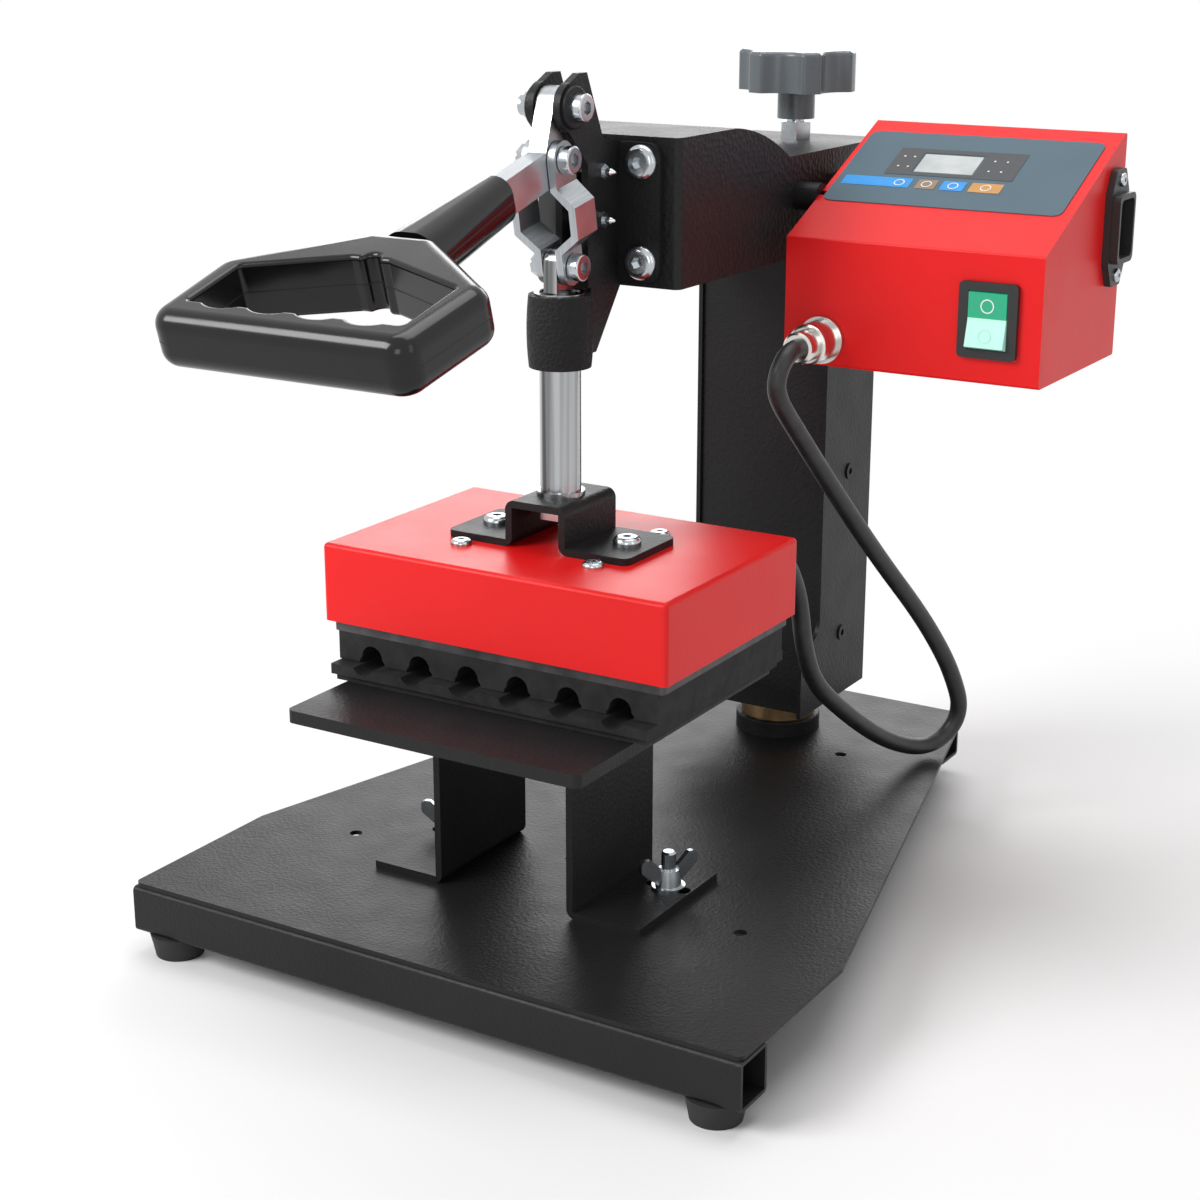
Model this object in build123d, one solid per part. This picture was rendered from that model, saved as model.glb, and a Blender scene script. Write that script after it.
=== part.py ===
from build123d import *
import math
import os

# Pen heat press: a small clam press with a swing-away head, a toggle lever and grooved pads for pens.
# Millimetres. The origin is on the floor under the plunger; +X is the user's right, -Y the user's side.

# Fits and clearances
RUN_FIT = 0.05
PART_GAP = 0.3
BOLT_CLEARANCE = 0.3

# Base
FOOT_HEIGHT = 10.0
FOOT_TOP_RADIUS = 12.0
FOOT_BOTTOM_RADIUS = 10.0
TUBE_SIZE = 20.0
TUBE_WALL = 1.5
TUBE_HALF_LENGTH = 143.0
TUBE_FRONT_Y = -108.5
PLATE_THICK = 2.0
PLATE_FRONT_Y = -107.4
PLATE_SHOULDER_Y = -25.5
PLATE_REAR_Y = 260.6
PLATE_HALF_WIDTH = 142.6
PLATE_REAR_HALF_WIDTH = 73.7
PLATE_CORNER_RADIUS = 3.0
SPARE_HOLE_RADIUS = 2.75
SPARE_HOLES = ((-95.0, -19.0), (95.0, -19.0), (0.0, 7.0), (-45.0, 177.0), (45.0, 177.0))
FRONT_FOOT_X = 128.0
REAR_FOOT_X = 52.0

# Swing pivot
PIVOT_Y = 199.0
COLLAR_RADIUS = 20.5
COLLAR_HEIGHT = 8.0
BUSH_RADIUS = 18.0
BUSH_HEIGHT = 17.0
POST_RADIUS = 10.0
POST_HEIGHT = 44.0
POST_HEAD_RADIUS = 15.0
POST_HEAD_HEIGHT = 3.5
POST_NUT_FLATS = 30.0
POST_NUT_HEIGHT = 10.0

# Pen shelf and its legs
SHELF_TOP = 118.7
SHELF_THICK = 5.3
SHELF_HALF_WIDTH = 67.6
SHELF_FRONT_Y = -95.3
SHELF_REAR_Y = 57.0
LEG_THICK = 3.0
LEG_FACE_X = 33.5
LEG_SHIFT_X = -1.5
LEG_FRONT_Y = -43.3
LEG_REAR_Y = 20.2
LEG_FLANGE = 31.0
LEG_BEND_RADIUS = 4.0
STUD_RADIUS = 3.0
STUD_TOP_LENGTH = 19.0
STUD_OFFSET = 20.5
SLOT_LENGTH = 20.0
STAND_Y = -2.0
WING_HUB_RADIUS = 5.5
WING_HUB_HEIGHT = 7.0
WING_SPAN = 13.5
WING_HEIGHT = 13.0
WING_THICK = 2.2
WASHER_RADIUS = 7.0
WASHER_THICK = 1.2

# Pads and heated head
PAD_COUNT = 6
GROOVE_PITCH = 23.4
GROOVE_RADIUS = 5.0
GROOVE_MOUTH = 12.5
GROOVE_SHOULDER = 2.6
LOWER_GROOVE_DEPTH = 3.0
BASE_PAD_THICK = 2.6
LOWER_PAD_THICK = 4.3
LOWER_PAD_HALF_WIDTH = 74.5
LOWER_PAD_FRONT_Y = -57.6
LOWER_PAD_REAR_Y = 53.0
BASE_PAD_MARGIN = 1.6
PAD_GAP = 0.3
UPPER_PAD_THICK = 11.9
UPPER_PAD_HALF_WIDTH = 75.0
UPPER_PAD_HALF_DEPTH = 51.0
HEAT_PLATE_THICK = 10.0
HEAT_PLATE_SHOWN = 4.4
HEAT_PLATE_HALF_WIDTH = 77.4
HEAT_PLATE_HALF_DEPTH = 51.1
COVER_HALF_WIDTH = 80.0
COVER_HALF_DEPTH = 53.7
COVER_HEIGHT = 32.5
COVER_WALL = 1.6
COVER_EDGE = 2.0
INSULATION_THICK = 14.0

# Hat bracket between the cover and the plunger
HAT_THICK = 3.0
HAT_FOOT_X = 42.5
HAT_HALF_WIDTH = 14.0
HAT_HALF_DEPTH = 19.5
HAT_HEIGHT = 19.3
HAT_BEND = 4.0
HAT_CORNER = 3.5
FOOT_SCREW_X = 31.0
FOOT_SCREW_RADIUS = 5.7
COVER_SCREW_Y = 26.0
COVER_SCREW_RADIUS = 4.3

# Plunger and guide
ROD_RADIUS = 8.25
ROD_FOOT_RADIUS = 9.75
ROD_FOOT_HEIGHT = 2.0
ROD_TOP = 275.0
TANG_THICK = 6.0
TANG_HALF_WIDTH = 7.0
GUIDE_BOTTOM = 246.0
GUIDE_TOP = 274.6
GUIDE_RADIUS = 12.4
GUIDE_BELLY = 0.8
LINER_RADIUS = 10.2
LINER_RISE = 0.8
PLUNGER_BOLT_RADIUS = 5.0
PLUNGER_BOLT_FLATS = 16.0

# Toggle linkage: fixed pivot, crank pin and plunger pin in the YZ plane
FIXED_PIN = (-2.0, 346.5)
CRANK_PIN = (-8.0, 327.5)
PLUNGER_PIN = (0.0, 285.6)
PIN_RADIUS = 4.0
LINK_PIN_RADIUS = 2.5
LINK_SLACK = 2.1
LEVER_THICK = 8.0
LEVER_HALF_WIDTH = 7.0
LEVER_EAR_RADIUS = 8.0
LEVER_SLOPE = 15.7
LEVER_EAR_GAP = 0.3
LINK_THICK = 3.0
LINK_HALF_WIDTH = 7.2
LINK_BOW_X = 13.0
LINK_BEND_TOP = 0.76
LINK_BOW_TOP = 0.60
LINK_BOW_BOTTOM = 0.335
LINK_BEND_BOTTOM = 0.18
CAP_HEAD_RADIUS = 5.4
CAP_HEAD_LENGTH = 4.6

# Clamp body
CLAMP_PLATE_THICK = 3.0
CLAMP_INNER_X = 4.5
EAR_RADIUS = 9.5
EAR_BOSS_RADIUS = 8.2
EAR_BOSS_THICK = 2.0
CLAMP_FRONT_Y = 9.0
FLANGE_X = 26.4
FLANGE_BOTTOM = 276.0
FLANGE_TOP = 331.0
FLANGE_CORNER = 6.0
BOLT_X = 18.4
BOLT_LEVELS = (284.3, 323.4)
BOLT_RADIUS = 4.0
BOLT_HEAD_RADIUS = 7.0
BOLT_HEAD_HEIGHT = 4.0
SWITCH_SCREW_Y = 18.0
SWITCH_SCREW_LEVELS = (301.8, 320.6)
SWITCH_SCREW_RADIUS = 1.5
SWITCH_SIZE = (9.0, 14.0, 30.0)

# Grip, in the lever's own direction
GRIP_THICK = 21.5
GRIP_START = (-42.5, 315.6)
GRIP_FRONT = 137.0
GRIP_HALF_WIDTH = 57.0
GRIP_SHOULDER = 90.0
GRIP_NECK = 56.0
GRIP_NECK_HALF_WIDTH = 13.0
GRIP_CORNER = 9.0
GRIP_EDGE = 6.5
HOLE_FRONT = 123.5
HOLE_HALF_WIDTH = 45.0
HOLE_SHOULDER = 94.0
HOLE_BACK = 79.0
HOLE_CORNER = 2.0
HOLE_EDGE = 1.8
HOLE_BOSS_RADIUS = 3.6
FINGER_COUNT = 4
FINGER_PITCH = 20.0
FINGER_RADIUS = 12.5
FINGER_DEPTH = 2.6
SLEEVE_END = (15.0, 19.0)
SLEEVE_ROOT = (25.0, 21.0)
SLEEVE_CORNER = 7.0
BAR_IN_GRIP = 46.0

# Column and beam
SHEET = 2.0
COLUMN_HALF_WIDTH = 33.6
COLUMN_FRONT_Y = 173.5
COLUMN_REAR_Y = 224.0
COLUMN_BOTTOM = 54.5
COLUMN_FOOT_Y = 155.0
COLUMN_FLARE_LOW = 79.0
COLUMN_FLARE_HIGH = 98.0
COLUMN_TOP_FLARE = 250.0
COLUMN_TOP_Y = 163.0
FOOT_PLATE_THICK = 3.0
FRONT_PLATE_RECESS = 1.5
PLUG_RADIUS = 3.2
PLUG_PLACES = ((200.0, 165.0), (197.0, 86.0))
BEAM_FRONT_Y = 34.8
BEAM_BOTTOM = 273.8
BEAM_TOP = 333.2
BEAM_FLAT_END_Y = 82.0
BEAM_HUMP = (118.6, 323.4)
BEAM_VALLEY_Y = 130.0
BEAM_REAR_TOP = 317.4
BEAM_REAR_Y = 226.0

# Pressure knob
KNOB_Y = 202.0
KNOB_SCREW_RADIUS = 4.0
KNOB_NUT_FLATS = 13.0
KNOB_NUT_HEIGHT = 7.6
KNOB_NUT_GAP = 1.5
KNOB_HUB_RADIUS = 8.5
KNOB_HUB_HEIGHT = 12.5
KNOB_RADIUS = 26.7
KNOB_HEIGHT = 18.0
KNOB_LOBES = 6
KNOB_HOLLOW_RADIUS = 13.0
KNOB_HOLLOW_CENTRE = 34.0
KNOB_TURN = 11.0

# Control box
BOX_LEFT = 44.3
BOX_RIGHT = 158.2
BOX_FRONT_Y = 107.6
BOX_REAR_Y = 196.3
BOX_BOTTOM = 234.1
BOX_RIDGE = 287.3
BOX_TOP = 328.9
BOX_SHEET = 1.5
BOX_EDGE = 1.2
SPACER_RADIUS = 6.0
SPACER_PLACES = ((140.0, 300.0), (180.0, 300.0))
PANEL_LEFT = 46.8
PANEL_RIGHT = 153.4
PANEL_LOW = 29.3
PANEL_HIGH = 86.8
PANEL_THICK = 0.4
PANEL_CORNER = 4.0
DISPLAY_X = 91.8
DISPLAY_UP = 62.8
DISPLAY_SIZE = (26.6, 14.4)
DISPLAY_DEEP = 5.0
ROCKER_X = 135.8
ROCKER_Z = 260.3
ROCKER_FRAME_SIZE = (25.2, 31.0)
ROCKER_OPENING = (17.0, 24.0)
ROCKER_FRAME_PROUD = 2.2
ROCKER_DEPTH = 20.0
ROCKER_FACE = 2.6
ROCKER_TILT = 8.0
SOCKET_X = 62.5
SOCKET_Z = 245.5
SOCKET_RING_RADIUS = 10.0
SOCKET_RING_THICK = 3.0
SOCKET_BARREL_RADIUS = 7.0
PLUG_NUT_RADIUS = 8.6
PLUG_NUT_LENGTH = 13.0
PLUG_TAIL_RADIUS = 6.6
PLUG_TAIL_LENGTH = 9.0
INLET_Y = 184.2
INLET_Z = 290.2
INLET_FLANGE = (21.0, 49.0)
INLET_FLANGE_THICK = 3.0
INLET_BODY = (20.0, 29.0)
INLET_BODY_DEPTH = 22.0
INLET_RIM = 3.5
INLET_CAVITY = (16.0, 24.4)
INLET_CAVITY_DEPTH = 15.0
INLET_PIN_BELOW_RIM = 5.0
INLET_SCREW_SPACING = 40.0
INLET_SCREW_RADIUS = 2.9

# Head cord, from the plug's tail down in a loop and up to the gland behind the head
CORD_RADIUS = 4.0
GLAND_X = 60.0
GLAND_Z = 158.0
GLAND_LENGTH = 8.3
GLAND_RADIUS = 7.0
CORD_POINTS = (
    (62.5, 82.6, 245.5),
    (62.5, 76.0, 245.5),
    (61.5, 68.5, 238.5),
    (60.5, 68.5, 228.5),
    (62.8, 81.5, 213.0),
    (69.0, 110.0, 179.5),
    (76.0, 144.0, 142.0),
    (83.0, 175.0, 110.0),
    (88.3, 195.0, 84.0),
    (90.8, 205.0, 66.0),
    (91.0, 210.0, 55.0),
    (89.0, 208.8, 45.5),
    (84.5, 202.5, 39.0),
    (79.5, 193.0, 37.4),
    (74.5, 176.0, 43.5),
    (70.5, 155.0, 55.5),
    (66.5, 130.0, 73.5),
    (63.0, 108.0, 92.0),
    (61.5, 99.0, 112.0),
    (60.5, 96.5, 132.0),
    (60.0, 88.0, 149.0),
    (60.0, 76.0, 158.0),
    (60.0, 62.0, 158.0),
)

# Heights and places that follow from the sizes above
PLATE_TOP = FOOT_HEIGHT + TUBE_SIZE + PLATE_THICK
BUSH_TOP = PLATE_TOP + COLLAR_HEIGHT + BUSH_HEIGHT
SHELF_BOTTOM = SHELF_TOP - SHELF_THICK
LOWER_PAD_TOP = SHELF_TOP + BASE_PAD_THICK + LOWER_PAD_THICK
UPPER_PAD_BOTTOM = LOWER_PAD_TOP + PAD_GAP
UPPER_PAD_TOP = UPPER_PAD_BOTTOM + UPPER_PAD_THICK
COVER_BOTTOM = UPPER_PAD_TOP + HEAT_PLATE_SHOWN
COVER_TOP = COVER_BOTTOM + COVER_HEIGHT
HAT_TOP = COVER_TOP + HAT_HEIGHT
PANEL_SLOPE = math.degrees(math.atan2(BOX_TOP - BOX_RIDGE, BOX_REAR_Y - BOX_FRONT_Y))


# Small shape helpers

def block(x0, x1, y0, y1, z0, z1):
    """A box from its two corners."""
    centre = Pos((x0 + x1) / 2, (y0 + y1) / 2, (z0 + z1) / 2)
    return centre * Box(abs(x1 - x0), abs(y1 - y0), abs(z1 - z0))


def post(x, y, z0, z1, radius):
    """An upright cylinder."""
    return Pos(x, y, (z0 + z1) / 2) * Cylinder(radius, z1 - z0)


def cross_pin(y, z, x0, x1, radius):
    """A cylinder along X."""
    return Pos((x0 + x1) / 2, y, z) * Rot(0, 90, 0) * Cylinder(radius, x1 - x0)


def long_pin(x, z, y0, y1, radius):
    """A cylinder along Y."""
    return Pos(x, (y0 + y1) / 2, z) * Rot(90, 0, 0) * Cylinder(radius, y1 - y0)


def hexagon(flats):
    """A hexagon sketch by the distance across its flats."""
    return RegularPolygon(flats / math.sqrt(3), 6)


def outline(points):
    """A filled outline through corner points."""
    return make_face(Polyline(*points, close=True))


def side_prism(sketch, x0, x1):
    """A sketch drawn in (Y, Z), pushed from x0 to x1."""
    return extrude(Plane.YZ.offset(x0) * sketch, x1 - x0)


def flat_prism(sketch, z0, z1):
    """A sketch drawn in (X, Y), pushed from z0 to z1."""
    return extrude(Plane.XY.offset(z0) * sketch, z1 - z0)


def front_prism(sketch, y0, y1):
    """A sketch drawn in (X, Z), pushed from y0 back to y1."""
    front = Plane(origin=(0, y0, 0), x_dir=(1, 0, 0), z_dir=(0, -1, 0))
    return extrude(front * sketch, -(y1 - y0))


def top_edges(solid):
    """The edges round the highest flat face."""
    return solid.faces().sort_by(Axis.Z)[-1].edges()


def dome_screw(radius, height, shank_radius, shank_length):
    """A button head above z = 0 with its shank below."""
    head = Cylinder(radius, height, align=(Align.CENTER, Align.CENTER, Align.MIN))
    head = fillet(top_edges(head), height * 0.7)
    socket = extrude(Plane.XY.offset(height) * hexagon(radius * 0.62), -height * 0.6)
    shank = Pos(0, 0, -shank_length / 2) * Cylinder(shank_radius, shank_length)
    return head - socket + shank


def hex_nut(flats, height, bore_radius):
    """A nut standing on z = 0."""
    return extrude(hexagon(flats), height) - Pos(0, 0, height / 2) * Cylinder(bore_radius, height * 2)


# Base

def base_plate():
    corners = [
        (-PLATE_HALF_WIDTH, PLATE_FRONT_Y),
        (PLATE_HALF_WIDTH, PLATE_FRONT_Y),
        (PLATE_HALF_WIDTH, PLATE_SHOULDER_Y),
        (PLATE_REAR_HALF_WIDTH, PLATE_REAR_Y),
        (-PLATE_REAR_HALF_WIDTH, PLATE_REAR_Y),
        (-PLATE_HALF_WIDTH, PLATE_SHOULDER_Y),
    ]
    sheet = outline(corners)
    sheet = fillet(sheet.vertices(), PLATE_CORNER_RADIUS)
    plate = flat_prism(sheet, PLATE_TOP - PLATE_THICK, PLATE_TOP)
    for x, y in SPARE_HOLES:
        plate -= post(x, y, PLATE_TOP - 2 * PLATE_THICK, PLATE_TOP + 1, SPARE_HOLE_RADIUS)
    for side in (-1, 1):
        plate -= post(stud_x(side), STAND_Y, 0, PLATE_TOP + 1, STUD_RADIUS + RUN_FIT)
    return plate - post(0, PIVOT_Y, 0, PLATE_TOP + 1, POST_RADIUS + RUN_FIT)


def square_tube(y0, half_length):
    bar = Box(2 * half_length, TUBE_SIZE, TUBE_SIZE)
    outer = Pos(0, y0 + TUBE_SIZE / 2, FOOT_HEIGHT + TUBE_SIZE / 2) * bar
    outer = fillet(outer.edges().filter_by(Axis.X), 2.0)
    bore = TUBE_SIZE - 2 * TUBE_WALL
    inner = Pos(0, y0 + TUBE_SIZE / 2, FOOT_HEIGHT + TUBE_SIZE / 2) * Box(2 * half_length + 2, bore, bore)
    return outer - inner


def cross_tubes():
    front = square_tube(TUBE_FRONT_Y, TUBE_HALF_LENGTH)
    rear = square_tube(PLATE_REAR_Y - TUBE_SIZE, PLATE_REAR_HALF_WIDTH - PLATE_CORNER_RADIUS)
    return Compound([front, rear])


def rubber_feet():
    front_y = TUBE_FRONT_Y + TUBE_SIZE / 2
    rear_y = PLATE_REAR_Y - TUBE_SIZE / 2
    feet = []
    front = [(-FRONT_FOOT_X, front_y), (FRONT_FOOT_X, front_y)]
    rear = [(-REAR_FOOT_X, rear_y), (REAR_FOOT_X, rear_y)]
    for x, y in front + rear:
        cone = Cone(FOOT_BOTTOM_RADIUS, FOOT_TOP_RADIUS, FOOT_HEIGHT)
        feet.append(Pos(x, y, FOOT_HEIGHT / 2) * cone)
    return Compound(feet)


# Swing pivot

def pivot_collar():
    z0 = PLATE_TOP
    ring = post(0, PIVOT_Y, z0, z0 + COLLAR_HEIGHT, COLLAR_RADIUS)
    ring = fillet(top_edges(ring), 1.0)
    return ring - post(0, PIVOT_Y, z0 - 1, z0 + COLLAR_HEIGHT + 1, POST_RADIUS + RUN_FIT)


def pivot_bush():
    z0 = PLATE_TOP + COLLAR_HEIGHT
    sleeve = post(0, PIVOT_Y, z0, BUSH_TOP, BUSH_RADIUS)
    return sleeve - post(0, PIVOT_Y, z0 - 1, BUSH_TOP + 1, POST_RADIUS + RUN_FIT)


def pivot_post():
    plate_bottom = PLATE_TOP - PLATE_THICK
    shaft = post(0, PIVOT_Y, plate_bottom, PLATE_TOP + POST_HEIGHT, POST_RADIUS)
    head = post(0, PIVOT_Y, plate_bottom - POST_HEAD_HEIGHT, plate_bottom, POST_HEAD_RADIUS)
    return shaft + head


def pivot_nut():
    z0 = BUSH_TOP + FOOT_PLATE_THICK
    return Pos(0, PIVOT_Y, z0) * hex_nut(POST_NUT_FLATS, POST_NUT_HEIGHT, POST_RADIUS + RUN_FIT)


# Pen shelf

def shelf_plate():
    plate = block(
        -SHELF_HALF_WIDTH, SHELF_HALF_WIDTH, SHELF_FRONT_Y, SHELF_REAR_Y, SHELF_BOTTOM, SHELF_TOP
    )
    return fillet(plate.edges().filter_by(Axis.Z), 3.0)


def leg_outer_x(side):
    return LEG_SHIFT_X + side * LEG_FACE_X


def stud_x(side):
    return leg_outer_x(side) + side * STUD_OFFSET


def stand_leg(side):
    """A folded strip: foot flange outwards, upright, and a short flange under the shelf."""
    outer = leg_outer_x(side)
    inner = outer - side * LEG_THICK
    foot = outer + side * LEG_FLANGE
    tuck = inner + side * LEG_FLANGE * 0.7
    points = [
        (inner, PLATE_TOP),
        (foot, PLATE_TOP),
        (foot, PLATE_TOP + LEG_THICK),
        (outer, PLATE_TOP + LEG_THICK),
        (outer, SHELF_BOTTOM - LEG_THICK),
        (tuck, SHELF_BOTTOM - LEG_THICK),
        (tuck, SHELF_BOTTOM),
        (inner, SHELF_BOTTOM),
    ]
    strip = outline(points)
    bend = strip.vertices().sort_by_distance((inner, PLATE_TOP))[0]
    crown = strip.vertices().sort_by_distance((inner, SHELF_BOTTOM))[0]
    strip = fillet([bend, crown], LEG_BEND_RADIUS)
    leg = front_prism(strip, LEG_FRONT_Y, LEG_REAR_Y)
    slot = flat_prism(SlotOverall(SLOT_LENGTH, 2 * STUD_RADIUS + 2 * BOLT_CLEARANCE), 0, 2 * LEG_THICK)
    return leg - Pos(stud_x(side), STAND_Y, PLATE_TOP - LEG_THICK / 2) * slot


def stand_studs():
    """Bolts up through the base plate, heads below it."""
    z0 = PLATE_TOP - PLATE_THICK
    studs = []
    for side in (-1, 1):
        shank = post(stud_x(side), STAND_Y, z0, PLATE_TOP + STUD_TOP_LENGTH, STUD_RADIUS)
        shank = chamfer(top_edges(shank), 0.8)
        head = Pos(stud_x(side), STAND_Y, z0 - 4) * extrude(hexagon(10.0), 4)
        studs.append(shank + head)
    return Compound(studs)


def wing_nut(side):
    z0 = PLATE_TOP + LEG_THICK
    hub_bottom = z0 + WASHER_THICK
    washer = post(0, 0, z0, hub_bottom, WASHER_RADIUS)
    hub = Cone(WING_HUB_RADIUS, WING_HUB_RADIUS * 0.8, WING_HUB_HEIGHT)
    hub = Pos(0, 0, hub_bottom + WING_HUB_HEIGHT / 2) * hub
    wing = outline(
        [
            (WING_HUB_RADIUS * 0.5, hub_bottom + 1.0),
            (WING_HUB_RADIUS, hub_bottom + 1.0),
            (WING_SPAN, hub_bottom + WING_HEIGHT * 0.6),
            (WING_SPAN, hub_bottom + WING_HEIGHT),
            (WING_SPAN * 0.7, hub_bottom + WING_HEIGHT),
            (WING_HUB_RADIUS * 0.5, hub_bottom + WING_HUB_HEIGHT),
        ]
    )
    wing = fillet(wing.vertices().group_by(Axis.X)[-1], 2.2)
    wing = front_prism(wing, -WING_THICK / 2, WING_THICK / 2)
    nut = washer + hub + wing + Rot(0, 0, 180) * wing
    nut -= post(0, 0, z0 - 1, hub_bottom + WING_HUB_HEIGHT + 1, STUD_RADIUS + RUN_FIT)
    turned = Rot(0, 0, 20 if side < 0 else 62)
    return Pos(stud_x(side), STAND_Y, 0) * turned * nut


# Pads and head

def groove_places():
    first = -(PAD_COUNT - 1) / 2 * GROOVE_PITCH
    return [first + index * GROOVE_PITCH for index in range(PAD_COUNT)]


def lower_pad_base():
    z0 = SHELF_TOP
    return block(
        -LOWER_PAD_HALF_WIDTH + BASE_PAD_MARGIN,
        LOWER_PAD_HALF_WIDTH - BASE_PAD_MARGIN,
        LOWER_PAD_FRONT_Y + BASE_PAD_MARGIN,
        LOWER_PAD_REAR_Y - BASE_PAD_MARGIN,
        z0,
        z0 + BASE_PAD_THICK,
    )


def lower_pad():
    z0 = SHELF_TOP + BASE_PAD_THICK
    pad = block(
        -LOWER_PAD_HALF_WIDTH, LOWER_PAD_HALF_WIDTH, LOWER_PAD_FRONT_Y, LOWER_PAD_REAR_Y, z0, LOWER_PAD_TOP
    )
    sink = GROOVE_RADIUS - LOWER_GROOVE_DEPTH
    for x in groove_places():
        pad -= long_pin(x, LOWER_PAD_TOP + sink, LOWER_PAD_FRONT_Y - 1, LOWER_PAD_REAR_Y + 1, GROOVE_RADIUS)
    return pad


def upper_pad():
    pad = block(
        -UPPER_PAD_HALF_WIDTH,
        UPPER_PAD_HALF_WIDTH,
        -UPPER_PAD_HALF_DEPTH,
        UPPER_PAD_HALF_DEPTH,
        UPPER_PAD_BOTTOM,
        UPPER_PAD_TOP,
    )
    z0 = UPPER_PAD_BOTTOM
    mouth = outline(
        [
            (-GROOVE_MOUTH / 2, z0 - 1),
            (GROOVE_MOUTH / 2, z0 - 1),
            (GROOVE_MOUTH / 2, z0 + GROOVE_SHOULDER * 0.4),
            (GROOVE_RADIUS, z0 + GROOVE_SHOULDER),
            (-GROOVE_RADIUS, z0 + GROOVE_SHOULDER),
            (-GROOVE_MOUTH / 2, z0 + GROOVE_SHOULDER * 0.4),
        ]
    )
    arch = Pos(0, z0 + GROOVE_SHOULDER) * Circle(GROOVE_RADIUS)
    groove = front_prism(mouth + arch, -UPPER_PAD_HALF_DEPTH - 1, UPPER_PAD_HALF_DEPTH + 1)
    for x in groove_places():
        pad -= Pos(x, 0, 0) * groove
    return pad


def heating_plate():
    plate = block(
        -HEAT_PLATE_HALF_WIDTH,
        HEAT_PLATE_HALF_WIDTH,
        -HEAT_PLATE_HALF_DEPTH,
        HEAT_PLATE_HALF_DEPTH,
        UPPER_PAD_TOP,
        UPPER_PAD_TOP + HEAT_PLATE_THICK,
    )
    return fillet(plate.edges().filter_by(Axis.Z), 2.0)


def insulation_board():
    z0 = UPPER_PAD_TOP + HEAT_PLATE_THICK
    return block(
        -HEAT_PLATE_HALF_WIDTH,
        HEAT_PLATE_HALF_WIDTH,
        -HEAT_PLATE_HALF_DEPTH,
        HEAT_PLATE_HALF_DEPTH,
        z0,
        z0 + INSULATION_THICK,
    )


def head_screw_places():
    """Four screws hold the cover down to the plate inside."""
    return [(x, y) for x in (-FOOT_SCREW_X, FOOT_SCREW_X) for y in (-COVER_SCREW_Y, COVER_SCREW_Y)]


def head_cover():
    outer = block(
        -COVER_HALF_WIDTH, COVER_HALF_WIDTH, -COVER_HALF_DEPTH, COVER_HALF_DEPTH, COVER_BOTTOM, COVER_TOP
    )
    outer = fillet(outer.edges().filter_by(Axis.Z) + top_edges(outer), COVER_EDGE)
    inner = block(
        -COVER_HALF_WIDTH + COVER_WALL,
        COVER_HALF_WIDTH - COVER_WALL,
        -COVER_HALF_DEPTH + COVER_WALL,
        COVER_HALF_DEPTH - COVER_WALL,
        COVER_BOTTOM - 1,
        COVER_TOP - COVER_WALL,
    )
    cover = outer - inner
    for x, y in head_screw_places():
        cover -= post(x, y, COVER_TOP - 4, COVER_TOP + 1, 2.0 + BOLT_CLEARANCE)
    for side in (-1, 1):
        cover -= post(side * FOOT_SCREW_X, 0, COVER_TOP - 4, COVER_TOP + 1, 3.0 + BOLT_CLEARANCE)
    gland_hole = GLAND_RADIUS * 0.7 + BOLT_CLEARANCE
    return cover - long_pin(GLAND_X, GLAND_Z, COVER_HALF_DEPTH - 4, COVER_HALF_DEPTH + 1, gland_hole)


def head_screws():
    """Four small screws in the cover and two larger ones through the bracket's feet."""
    screws = []
    for x, y in head_screw_places():
        small = dome_screw(COVER_SCREW_RADIUS, 2.2, 2.0, COVER_WALL + 2.5)
        screws.append(Pos(x, y, COVER_TOP) * small)
    for side in (-1, 1):
        large = dome_screw(FOOT_SCREW_RADIUS, 3.2, 3.0, HAT_THICK + COVER_WALL + 3.0)
        screws.append(Pos(side * FOOT_SCREW_X, 0, COVER_TOP + HAT_THICK) * large)
    return Compound(screws)


def hat_bracket():
    inner_x = HAT_HALF_WIDTH - HAT_THICK
    half = [
        (HAT_FOOT_X, COVER_TOP),
        (HAT_FOOT_X, COVER_TOP + HAT_THICK),
        (HAT_HALF_WIDTH, COVER_TOP + HAT_THICK),
        (HAT_HALF_WIDTH, HAT_TOP),
    ]
    under = [
        (inner_x, HAT_TOP - HAT_THICK),
        (inner_x, COVER_TOP),
    ]
    points = half + [(-x, z) for x, z in reversed(half)]
    points += [(-x, z) for x, z in reversed(under)] + under
    profile = outline(points)
    crown = [v for v in profile.vertices() if abs(v.Y - HAT_TOP) < 0.01]
    profile = fillet(crown, HAT_BEND)
    feet = [v for v in profile.vertices() if abs(v.Y - COVER_TOP) < 0.01 and abs(v.X) < HAT_HALF_WIDTH]
    profile = fillet(feet, HAT_BEND)
    bracket = front_prism(profile, -HAT_HALF_DEPTH, HAT_HALF_DEPTH)
    corners = [e for e in bracket.edges().filter_by(Axis.Z) if abs(abs(e.center().X) - HAT_FOOT_X) < 0.01]
    bracket = fillet(corners, HAT_CORNER)
    for side in (-1, 1):
        bracket -= post(side * FOOT_SCREW_X, 0, COVER_TOP - 1, COVER_TOP + 6, 3.0 + BOLT_CLEARANCE)
    return bracket - post(0, 0, HAT_TOP - 6, HAT_TOP + 1, PLUNGER_BOLT_RADIUS + BOLT_CLEARANCE)


def cord_gland():
    """A flanged strain relief at the back of the cover, bored for the cord's cores."""
    y0 = COVER_HALF_DEPTH
    flange = long_pin(GLAND_X, GLAND_Z, y0, y0 + 3, GLAND_RADIUS)
    tail = long_pin(GLAND_X, GLAND_Z, y0 + 3, y0 + GLAND_LENGTH, CORD_RADIUS + 1.5)
    neck = long_pin(GLAND_X, GLAND_Z, y0 - COVER_WALL, y0, GLAND_RADIUS * 0.7)
    return flange + tail + neck


# Plunger

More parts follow.
